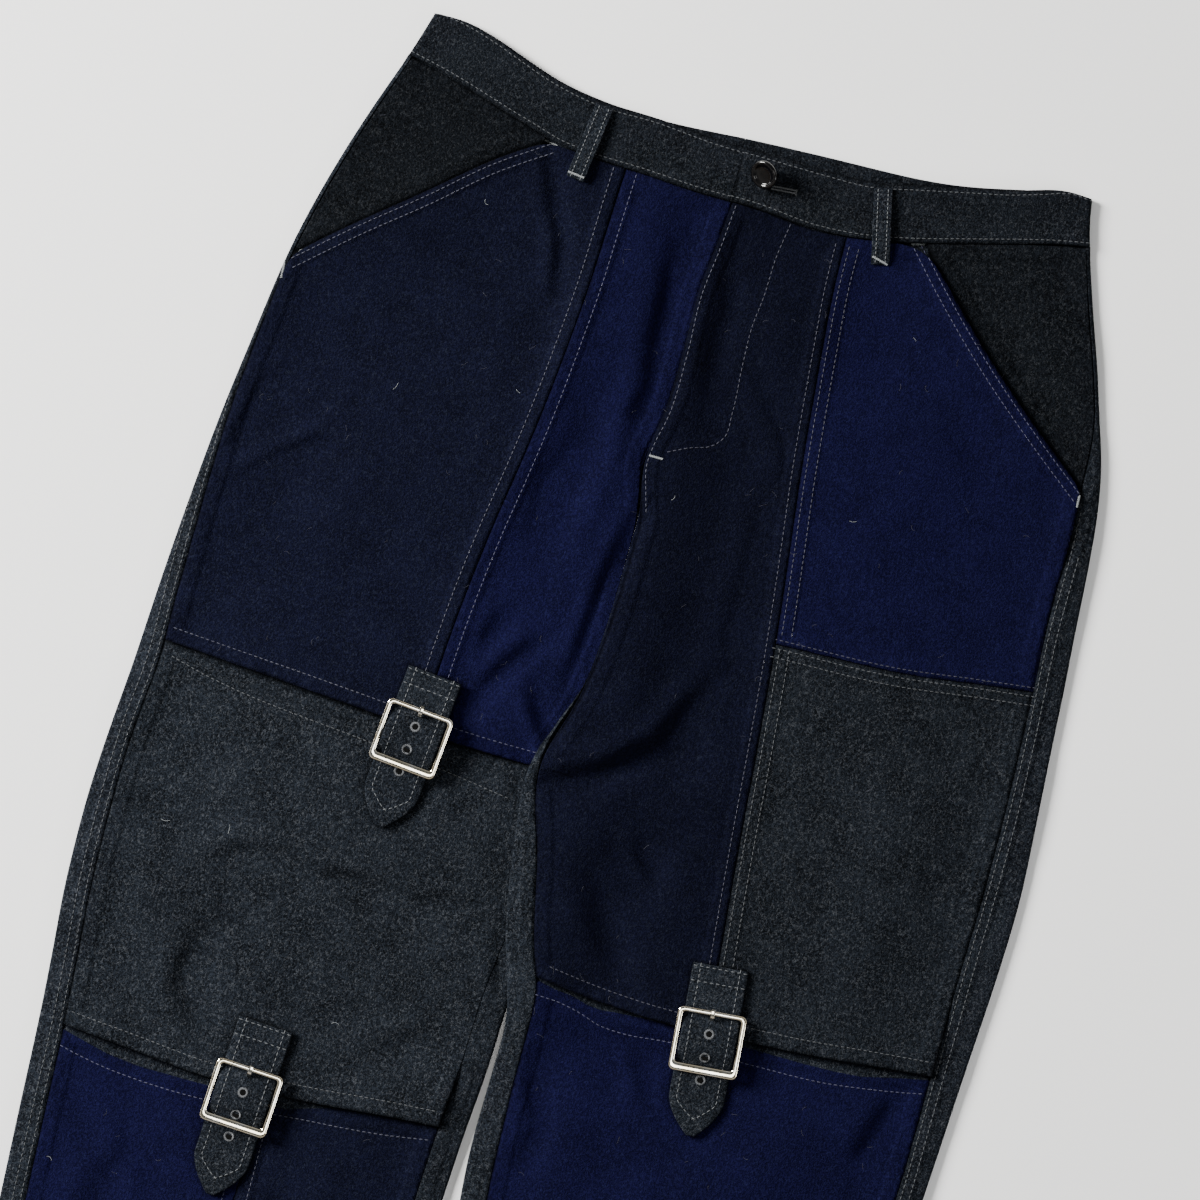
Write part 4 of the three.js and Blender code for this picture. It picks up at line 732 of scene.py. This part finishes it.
def strip_section(half, wall, columns=8):
    """Across and up places of a rounded strip's outline, once round."""
    corner = min(0.9, half * 0.9)
    flat = half - corner
    arc = [math.pi / 2 * k / 3 for k in range(4)]
    top = [(flat * (2 * k / columns - 1), wall) for k in range(1, columns)]
    right_up = [(flat + corner * math.sin(a), wall - corner + corner * math.cos(a)) for a in arc]
    right_low = [(flat + corner * math.cos(a), corner - corner * math.sin(a)) for a in arc]
    upper = [(-x, z) for x, z in reversed(right_up)] + top + right_up
    lower = right_low + [(-x, z) for x, z in reversed(right_low)]
    return upper + lower


def loft(sections):
    """A closed shell through sections with the same number of points."""
    bm = bmesh.new()
    rings = [[bm.verts.new(point) for point in ring] for ring in sections]
    for a, b in zip(rings, rings[1:]):
        bridge(bm, a, b)
    bm.faces.new(rings[0])
    bm.faces.new(rings[-1][::-1])
    bmesh.ops.recalc_face_normals(bm, faces=bm.faces)
    return closed("loft", bm)


def surface_of(*things):
    """A tree of the faces of some objects, to drop points on."""
    points, faces = [], []
    for thing in things:
        start = len(points)
        points.extend(thing.matrix_world @ v.co for v in thing.data.vertices)
        faces.extend([start + k for k in face.vertices] for face in thing.data.polygons)
    return BVHTree.FromPolygons(points, faces)


def height_on(surface, x, y):
    """Height of the surface above the table at a pattern point, in millimetres."""
    hit = surface.ray_cast(to_frame(x, y, 60), Vector((0, 0, -1)))
    return hit[0].z * 1000 if hit[0] else 0.0


def smoothed(values, width):
    reach = int(3 * width)
    kernel = np.exp(-0.5 * (np.arange(-reach, reach + 1) / width) ** 2)
    padded = np.pad(values, reach, mode="edge")
    return np.convolve(padded, kernel / kernel.sum(), mode="valid")


# %% The three straps


def strap_piece(strap):
    name, _, _, _, _, length, _ = strap
    surface = surface_of(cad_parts[f"strap_{name}"])
    places = np.linspace(0.3, length - 0.3, 90)
    run = []
    for s in places:
        reach = min(11, 0.6 * strap_half(s, length))
        run.append(max(height_on(surface, *on_strap(strap, t * reach, s)) for t in (-1, 1)))
    run = smoothed(np.array(run), 2.0)
    sections = []
    for s, top in zip(places, run):
        half = strap_half(s, length) - 0.1
        ring = []
        for across, up in strip_section(half, STRAP_WALL):
            x, y = on_strap(strap, across, s)
            crown = 0.25 * noise.noise((x / 14, y / 14, 5.0)) - 0.35 * (across / STRAP_HALF) ** 4
            ring.append(to_frame(x, y, top - STRAP_WALL + up + (crown if up > 1 else 0)))
        sections.append(ring)
    mesh = loft(sections)
    plain_facts(mesh)
    piece = shown(f"strap_{name}_cloth", mesh, CHARCOAL, f"strap_{name}")
    wide, long = 2 * STRAP_HALF / 1000, length / 1000
    0.93 * wide * long
    return piece


straps = {strap[0]: strap_piece(strap) for strap in STRAPS}
print("straps", list(straps))

# %% [markdown]
# ## Buckles and prongs
# A cast buckle is a rounded oblong with a broader lower bar. An outer and an inner oblong
# with the same number of points are joined by a rounded section, so the bar keeps its true
# width all the way round. The cross bar sits low behind it, where the prong and tab turn.

# %% Buckles
BUCKLE_WIDTH, BUCKLE_HEIGHT, BUCKLE_WALL = 47, 44, 3.2
BUCKLE_SIDE, BUCKLE_TOP, BUCKLE_BOTTOM = 3.8, 3.5, 6.0
BUCKLE_BAR, BUCKLE_DROP = 2.6, 3.5
# Round the bar's section: part of its width from the outer edge, and part of its wall up
BAR_SECTION = [
    (0.0, 0.05), (0.02, 0.22), (0.08, 0.36), (0.20, 0.45), (0.34, 0.49), (0.48, 0.5), (0.62, 0.49),
    (0.76, 0.44), (0.88, 0.35), (0.96, 0.2), (1.0, 0.0), (0.97, -0.3), (0.85, -0.47), (0.15, -0.47),
    (0.03, -0.3),
]


def oblong(width, height, radius, middle_y=0.0, steps=7, side_steps=6):
    """Points once round an oblong with round corners."""
    reach_x, reach_y = width / 2 - radius, height / 2 - radius
    corners = [(1, 1), (-1, 1), (-1, -1), (1, -1)]
    points = []
    for turn, (right, up) in enumerate(corners):
        for k in range(steps + 1):
            angle = math.pi / 2 * (turn + k / steps)
            points.append((right * reach_x + radius * math.cos(angle),
                           up * reach_y + radius * math.sin(angle) + middle_y))
        x, y = points[-1]
        after = corners[(turn + 1) % 4]
        for k in range(1, side_steps):
            part = k / side_steps
            points.append((x + (after[0] - right) * reach_x * part,
                           y + (after[1] - up) * reach_y * part))
    return points


def buckle_place(strap):
    """The matrix that takes the buckle's own millimetres to the frame."""
    name, _, lean, buckle, _, _, pitch = strap
    tilt = math.radians(pitch)
    _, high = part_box(f"buckle_{name}")
    middle = high[2] * 1000 - BUCKLE_HEIGHT / 2 * math.sin(tilt) - BUCKLE_WALL / 2 * math.cos(tilt)
    bx, by = on_strap(strap, 0, buckle)
    to = Matrix.Translation(to_frame(bx, by, middle)) @ Matrix.Rotation(-math.radians(lean), 4, "Z")
    return to @ Matrix.Rotation(tilt, 4, "X") @ Matrix.Scale(0.001, 4)


def buckle_piece(strap):
    name = strap[0]
    outer = oblong(BUCKLE_WIDTH, BUCKLE_HEIGHT, 4.0)
    inner_height = BUCKLE_HEIGHT - BUCKLE_TOP - BUCKLE_BOTTOM
    inner = oblong(BUCKLE_WIDTH - 2 * BUCKLE_SIDE, inner_height, 2.0, (BUCKLE_BOTTOM - BUCKLE_TOP) / 2)
    bm = bmesh.new()
    rings = []
    for (ox, oy), (ix, iy) in zip(outer, inner):
        rings.append([bm.verts.new((ox + (ix - ox) * a, oy + (iy - oy) * a, b * BUCKLE_WALL))
                      for a, b in BAR_SECTION])
    for a, b in zip(rings, rings[1:] + rings[:1]):
        bridge(bm, a, b)
    span = BUCKLE_WIDTH - BUCKLE_SIDE
    bar = Matrix.Translation((0, 0, -BUCKLE_DROP)) @ Matrix.Rotation(math.pi / 2, 4, "Y")
    thick = BUCKLE_BAR / 2
    cone(bm, thick, thick, span, bar)
    drop = BUCKLE_DROP + thick
    lug = Matrix.Diagonal((BUCKLE_SIDE * 0.7, 2.8, drop, 1))
    for side in (-1, 1):
        at = Matrix.Translation((side * span / 2, 0, -drop / 2))
        made = bmesh.ops.create_cube(bm, size=1, matrix=at @ lug)
        edges = {e for v in made["verts"] for e in v.link_edges}
        bmesh.ops.bevel(bm, geom=list(edges), offset=0.4, segments=2, profile=0.5, affect="EDGES")
    bmesh.ops.recalc_face_normals(bm, faces=bm.faces)
    mesh = closed("buckle", bm)
    mesh.transform(buckle_place(strap))
    shown(f"buckle_{name}_metal", mesh, NICKEL, f"buckle_{name}")


def small_copy(kind, strap, finish, material):
    """A small CAD piece with rounded rims: a prong, or a tab behind a buckle."""
    node = f"{kind}_{strap[0]}"
    bm = cage(node)
    round_rims(bm, 0.9, 0.00025)
    mesh = closed(node, bm)
    if material is CHARCOAL:
        plain_facts(mesh)
    return shown(f"{node}_{finish}", mesh, material, node)


for strap in STRAPS:
    buckle_piece(strap)
    small_copy("prong", strap, "metal", NICKEL)
    tab = small_copy("buckle_tab", strap, "cloth", CHARCOAL)
    width, length, area = cut_size(tab.data)
print("buckles", [strap[0] for strap in STRAPS])

# %% [markdown]
# ## Belt loops and the button
# The front loops are thick narrow bands that stand off the waistband. The button is turned
# from horn, with a raised rim and a dished middle; its four holes are near-black discs of
# painted shade. It stands tipped, as its shank of thread pulls it to the buttonhole.

# %% Front belt loops
loops = [dress_panel(f"belt_loop_front_{side}", levels=3, creased=False) for side in ("right", "left")]
for loop in loops:
    plain_facts(loop.data)

# %% Waist button
BUTTON_AT, BUTTON_RADIUS, BUTTON_TURN, BUTTON_TILT = (19.5, -20), 10, -39.5, 42
button_low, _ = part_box("waist_button")
BUTTON_EDGE = 1.1
tipped = math.radians(BUTTON_TILT)
button_height = (button_low[2] * 1000 + BUTTON_RADIUS * math.sin(tipped)
                 - BUTTON_EDGE * math.cos(tipped))
button_place = (Matrix.Translation(to_frame(*BUTTON_AT, button_height))
                @ Matrix.Rotation(math.radians(BUTTON_TURN), 4, "Z")
                @ Matrix.Rotation(tipped, 4, "X") @ Matrix.Scale(0.001, 4))
# Radius and height round its outline, from the foot over the rim to the middle of the dish
PROFILE = [
    (8.2, 0.0), (9.3, 0.35), (9.9, 1.1), (10.0, 2.1), (9.8, 2.95), (9.3, 3.4), (8.6, 3.55),
    (7.8, 3.45), (7.1, 3.05), (6.6, 2.5), (6.2, 2.15), (4.6, 2.0), (2.4, 1.95), (0.6, 1.95),
]
around = [2 * math.pi * k / 64 for k in range(64)]
button_mesh = loft([[(r * math.cos(a), r * math.sin(a), z) for a in around] for r, z in PROFILE])
button_mesh.transform(button_place)
shown("waist_button_horn", button_mesh, HORN, "waist_button")

HOLE_RING = 2.3
# Four near-black discs on the dish, painted shade for the button's four holes
holes = bmesh.new()
for k in range(4):
    angle = math.pi / 4 + k * math.pi / 2
    at = Matrix.Translation((HOLE_RING * math.cos(angle), HOLE_RING * math.sin(angle), 1.97))
    cone(holes, 0.95, 0.85, 0.12, at, segments=16)
hole_mesh = closed("button_hole_shades", holes)
hole_mesh.transform(button_place)
shown("waist_button_hole_shades", hole_mesh, HOLE_SHADE, smooth=False)
print("button at", button_place.translation)

# %% [markdown]
# ## Stitches
# Thousands of stitches are one shape repeated, which is work for Geometry Nodes. A row is a
# line dropped on the cloth. The tree cuts it at a steady pitch and sets a small thread bead
# on each point, along the row for topstitching, or across it for a bartack, an eyelet or the
# buttonhole.

# %% Stitch tree


def stitch_tree():
    tree = bpy.data.node_groups.new("stitch_row", "GeometryNodeTree")

    def socket(name, kind, side="INPUT"):
        return tree.interface.new_socket(name, in_out=side, socket_type=f"NodeSocket{kind}")

    socket("Geometry", "Geometry")
    usual = {"Pitch": 0.0038, "Length": 0.0027, "Width": 0.00072, "Height": 0.0005, "Turn": 0.0,
             "Sway": 0.06}
    for name, default in usual.items():
        socket(name, "Float").default_value = default
    socket("Seed", "Int")
    socket("Thread", "Material")
    socket("Geometry", "Geometry", "OUTPUT")
    nodes, links = tree.nodes, tree.links
    given, end = nodes.new("NodeGroupInput").outputs, nodes.new("NodeGroupOutput")

    def add(kind, inputs=None, out=0, **settings):
        made = nodes.new(kind)
        for key, value in settings.items():
            setattr(made, key, value)
        for key, value in (inputs or {}).items():
            if isinstance(value, bpy.types.NodeSocket):
                links.new(value, made.inputs[key])
            else:
                made.inputs[key].default_value = value
        return made.outputs[out]

    row = add("GeometryNodeMeshToCurve", {"Mesh": given["Geometry"]})
    cut = add("GeometryNodeResampleCurve", {"Curve": row, "Length": given["Pitch"]}, mode="LENGTH")
    tangent = add("GeometryNodeInputTangent")
    aim = add("FunctionNodeAlignRotationToVector", {"Vector": tangent}, axis="X")
    minus = add("ShaderNodeMath", {0: given["Sway"], 1: -1}, operation="MULTIPLY")
    sway = add("FunctionNodeRandomValue", {2: minus, 3: given["Sway"], "Seed": given["Seed"]},
               out=1, data_type="FLOAT")
    turn = add("ShaderNodeMath", {0: sway, 1: given["Turn"]}, operation="ADD")
    spin = add("ShaderNodeCombineXYZ", {"Z": turn})
    rotate = add("FunctionNodeRotateRotation", {0: aim, 1: spin}, rotation_space="LOCAL")
    bead = add("GeometryNodeMeshUVSphere", {"Segments": 6, "Rings": 5, "Radius": 0.5})
    laid = add("GeometryNodeTransform", {"Geometry": bead, "Rotation": (0, math.pi / 2, 0)})
    sides = {"X": given["Length"], "Y": given["Width"], "Z": given["Height"]}
    size = add("ShaderNodeCombineXYZ", sides)
    placed = {"Points": cut, "Instance": laid, "Rotation": rotate, "Scale": size}
    beads = add("GeometryNodeInstanceOnPoints", placed)
    real = add("GeometryNodeRealizeInstances", {"Geometry": beads})
    smooth = add("GeometryNodeSetShadeSmooth", {"Geometry": real})
    dyed = add("GeometryNodeSetMaterial", {"Geometry": smooth, "Material": given["Thread"]})
    links.new(dyed, end.inputs[0])
    return tree


STITCH_TREE = stitch_tree()
STITCH_INPUTS = {item.name: item.identifier for item in STITCH_TREE.interface.items_tree
                 if item.in_out == "INPUT"}
cloth_surface = surface_of(*cloth_pieces)
strap_surface = surface_of(*straps.values())
loop_surface = surface_of(*loops)
print("stitch inputs", list(STITCH_INPUTS))

# %% Rows into one mesh for each thread


# How far a thread stands off the cloth, and the step in height that ends a row, in metres
LIFT, STEP_DOWN = 0.0001, 0.002


def drape(line, surface):
    """Runs of frame points where the line lies on the surface; a step in height ends a run."""
    runs, run = [], []
    for x, y in line:
        hit = surface.ray_cast(to_frame(x, y, 60), Vector((0, 0, -1)))[0]
        if hit and run and abs(hit.z - run[-1].z) > STEP_DOWN:
            runs.append(run)
            run = []
        if hit:
            run.append(hit + Vector((0, 0, LIFT)))
    runs.append(run)
    return [r for r in runs if len(r) > 1]


def sew(name, thread_name, lines, surface, seed, slot="charcoal_wool", **sizes):
    """Makes all rows of one kind into one piece of stitches."""
    points, edges = [], []
    for line in lines:
        for run in drape(line, surface):
            start = len(points)
            points.extend(run)
            edges.extend((start + k, start + k + 1) for k in range(len(run) - 1))
    rows = bpy.data.meshes.new("rows")
    rows.from_pydata(points, edges, [])
    carrier = put("rows", rows)
    sewing = carrier.modifiers.new("sewing", "NODES")
    sewing.node_group = STITCH_TREE
    for key, value in sizes.items():
        sewing[STITCH_INPUTS[key.title()]] = value
    sewing[STITCH_INPUTS["Seed"]] = seed
    sewing[STITCH_INPUTS["Thread"]] = THREADS[thread_name]
    result = applied(carrier)
    shown(name, result, THREADS[thread_name])
    print(name, len(result.polygons), "faces")


def row(seam, aside, low=-math.inf, high=math.inf, axis=1):
    """A row to the left of a seam, for the part of it between two y, or two x with axis 0."""
    line = SEAMS[seam]
    return beside(line[(line[:, axis] >= low) & (line[:, axis] <= high)], aside)


# %% Topstitching of the panels
J_STITCH = smooth_line([(45, -48), (42, -70), (41, -100), (39, -120), (40, -150), (42, -180),
                        (41, -198), (35, -205), (20, -211), (8, -217)])
UPPER_RIGHT_LOWER = smooth_line([(-276, -441), (-260, -445), (-135, -460), (-80, -465), (-34, -471)])
LOWER_RIGHT_A = smooth_line([(-277, -714), (-266, -716.4), (-245, -720), (-221, -722),
                             (-178, -722.4), (-142, -721)])
LOWER_RIGHT_B = smooth_line([(-134, -720), (-105, -717.2), (-82, -715.5), (-48, -712), (-23, -708)])
LEFT_LOWER = smooth_line([(22, -593), (38, -594), (56, -598), (67, -601.6), (82, -602.9), (116, -600),
                          (173, -599.6), (230, -597.2), (249, -594.5), (277, -590), (289, -587.5)])
ink_rows = [
    row("seam_right", -8, -437, -44), row("mouth_right", 3), row("mouth_right", 9),
    row("fly", 3, -262, -44), row("upper_slit", -9.5, -281, -112, axis=0), row("shin_seam", 8),
    LOWER_RIGHT_B,
]
dim_rows = [
    row("seam_left", -6, -578, -50), J_STITCH, row("left_slit", 9.5, 24, 128, axis=0),
    row("seam_left", 3.2, -316, -50), row("seam_left", 9.8, -316, -50), row("hip_seam", 3),
]
navy_rows = [
    row("seam_right", 8, -437, -44), row("mouth_left", -3), row("mouth_left", -9),
    row("upper_slit", -9.5, -94, -24, axis=0), row("shin_seam", -8), LOWER_RIGHT_A, LEFT_LOWER,
]
charcoal_rows = [
    row("seam_left", 3.2, -578, -326), row("seam_left", 9.8, -578, -326), row("hip_seam", -3),
    row("hip_seam", -9), row("lower_slit", -10, -277, -22, axis=0),
    row("left_slit", 9.5, 140, 288, axis=0), UPPER_RIGHT_LOWER, row("side_right", -3, -1033, -262),
    row("side_right", -8.5, -1033, -330), row("side_left", 3, -1033, -180),
    row("side_left", 8.5, -1033, -210), row("band_top", -3.2), row("band", 3.2),
]
sew("topstitch_ink", "ink", ink_rows, cloth_surface, 3, "ink_wool")
sew("topstitch_dim", "dim", dim_rows, cloth_surface, 4, "ink_wool")
sew("topstitch_navy", "navy", navy_rows, cloth_surface, 5, "navy_wool")
sew("topstitch_charcoal", "grey", charcoal_rows, cloth_surface, 7)

# %% Stitches on the straps and belt loops


def strap_rows(strap):
    """Two rows down the sides to the tip, and two across the sewn end."""
    length = strap[5]
    inset = STRAP_HALF - 5.5
    turn, tip = length - STRAP_POINT + 3, length - 12
    rows = []
    for side in (-inset, inset):
        down = [on_strap(strap, side, s) for s in np.arange(1, turn, 2.0)]
        down += [on_strap(strap, side * (1 - t) ** 0.8, turn + (tip - turn) * t)
                 for t in np.linspace(0, 1, 12)[1:]]
        rows.append(np.array(down))
    width = np.linspace(-STRAP_HALF + 2, STRAP_HALF - 2, 16)
    return rows + [np.array([on_strap(strap, t, s) for t in width]) for s in (2.0, 12.0)]


def loop_rows(top, end):
    top, end = np.array(top, float), np.array(end, float)
    long = np.linalg.norm(end - top)
    line = np.array([top + (end - top) / long * s for s in np.arange(2, long - 1, 2.0)])
    return [beside(line, 3.4), beside(line, -3.4)]


on_straps = sum((strap_rows(strap) for strap in STRAPS), [])
sew("strap_stitches", "strap", on_straps, strap_surface, 11)
LOOP_LINES = [((-97, -4.5), (-103, -57.5)), ((98.5, -6.5), (110.5, -57))]
on_loops = sum((loop_rows(*ends) for ends in LOOP_LINES), [])
sew("loop_stitches", "strap", on_loops, loop_surface, 13, pitch=0.003, length=0.0021)

# %% Eyelets, bartacks and the buttonhole


def circle(middle, radius, points=40):
    angles = np.linspace(0, 2 * math.pi, points)
    return np.array(middle) + radius * np.stack([np.cos(angles), np.sin(angles)], axis=1)


def short_line(start, end, step=0.5):
    return np.linspace(start, end, int(math.dist(start, end) / step))


eyelets = [on_strap(strap, 0, strap[4] + k * EYELET_PITCH) for strap in STRAPS for k in range(3)]
rings = [circle(at, 2.8) for at in eyelets]
sew("eyelet_threads", "eyelet", rings, strap_surface, 17,
    pitch=0.00062, length=0.0018, width=0.00062, height=0.0006, turn=math.pi / 2, sway=0.12)

# Near-black discs in the eyelets, painted shade for their holes
eyelet_shades = bmesh.new()
for x, y in eyelets:
    at = Matrix.Translation(to_frame(x, y, height_on(strap_surface, x, y) + 0.1))
    cone(eyelet_shades, 0.0022, 0.0020, 0.0004, at)
shown("eyelet_hole_shades", closed("eyelet_hole_shades", eyelet_shades), HOLE_SHADE, smooth=False)

TACK = {"pitch": 0.0006, "length": 0.0017, "width": 0.0006, "height": 0.0005, "turn": math.pi / 2}
BARTACKS = [((-4, -223), (5, -223)), ((-130, -37), (-121, -38.5)), ((-276.5, -164), (-275.5, -175)),
            ((127.5, -37), (136, -35)), ((282, -168), (282.6, -178))]
LOOP_TACKS = [((-109, -54), (-97.5, -55.3)), ((104.3, -53.2), (115.6, -55.8))]
for name, ends, surface, seed in (("bartacks", BARTACKS, cloth_surface, 19),
                                  ("loop_bartacks", LOOP_TACKS, loop_surface, 23)):
    sew(name, "pale", [short_line(*pair) for pair in ends], surface, seed, **TACK, sway=0.15)

BUTTONHOLE = [((26, -27.8), (42, -26.4)), ((26, -25.9), (42, -24.5)), ((42.8, -23.9), (43, -27.3))]
lips = [short_line(*pair) for pair in BUTTONHOLE]
sew("buttonhole", "strap", lips, cloth_surface, 29, **(TACK | {"length": 0.0013}), sway=0.12)

# %% Lint and loose fibres
HAIR_STEP = 0.4


def curl(chance, long):
    """A short curved line somewhere on the front."""
    x, y = chance.uniform(-270, 280), chance.uniform(-1000, -30)
    heading, bend = chance.uniform(0, 2 * math.pi), chance.uniform(-0.5, 0.5)
    points = [(x, y)]
    for _ in range(int(long / HAIR_STEP)):
        heading += bend * HAIR_STEP
        x += HAIR_STEP * math.cos(heading)
        y += HAIR_STEP * math.sin(heading)
        points.append((x, y))
    return np.array(points)


chance = random.Random(5)
hair = {"pitch": 0.0004, "length": 0.0009, "height": 0.00018, "sway": 0.1}
lint = [curl(chance, chance.uniform(2, 6)) for _ in range(16)]
sew("lint", "pale", lint, cloth_surface, 31, width=0.00026, **hair)
fibres = [curl(chance, chance.uniform(2, 5)) for _ in range(260)]
sew("loose_fibres", "dim", fibres, cloth_surface, 37, width=0.00018, **hair)
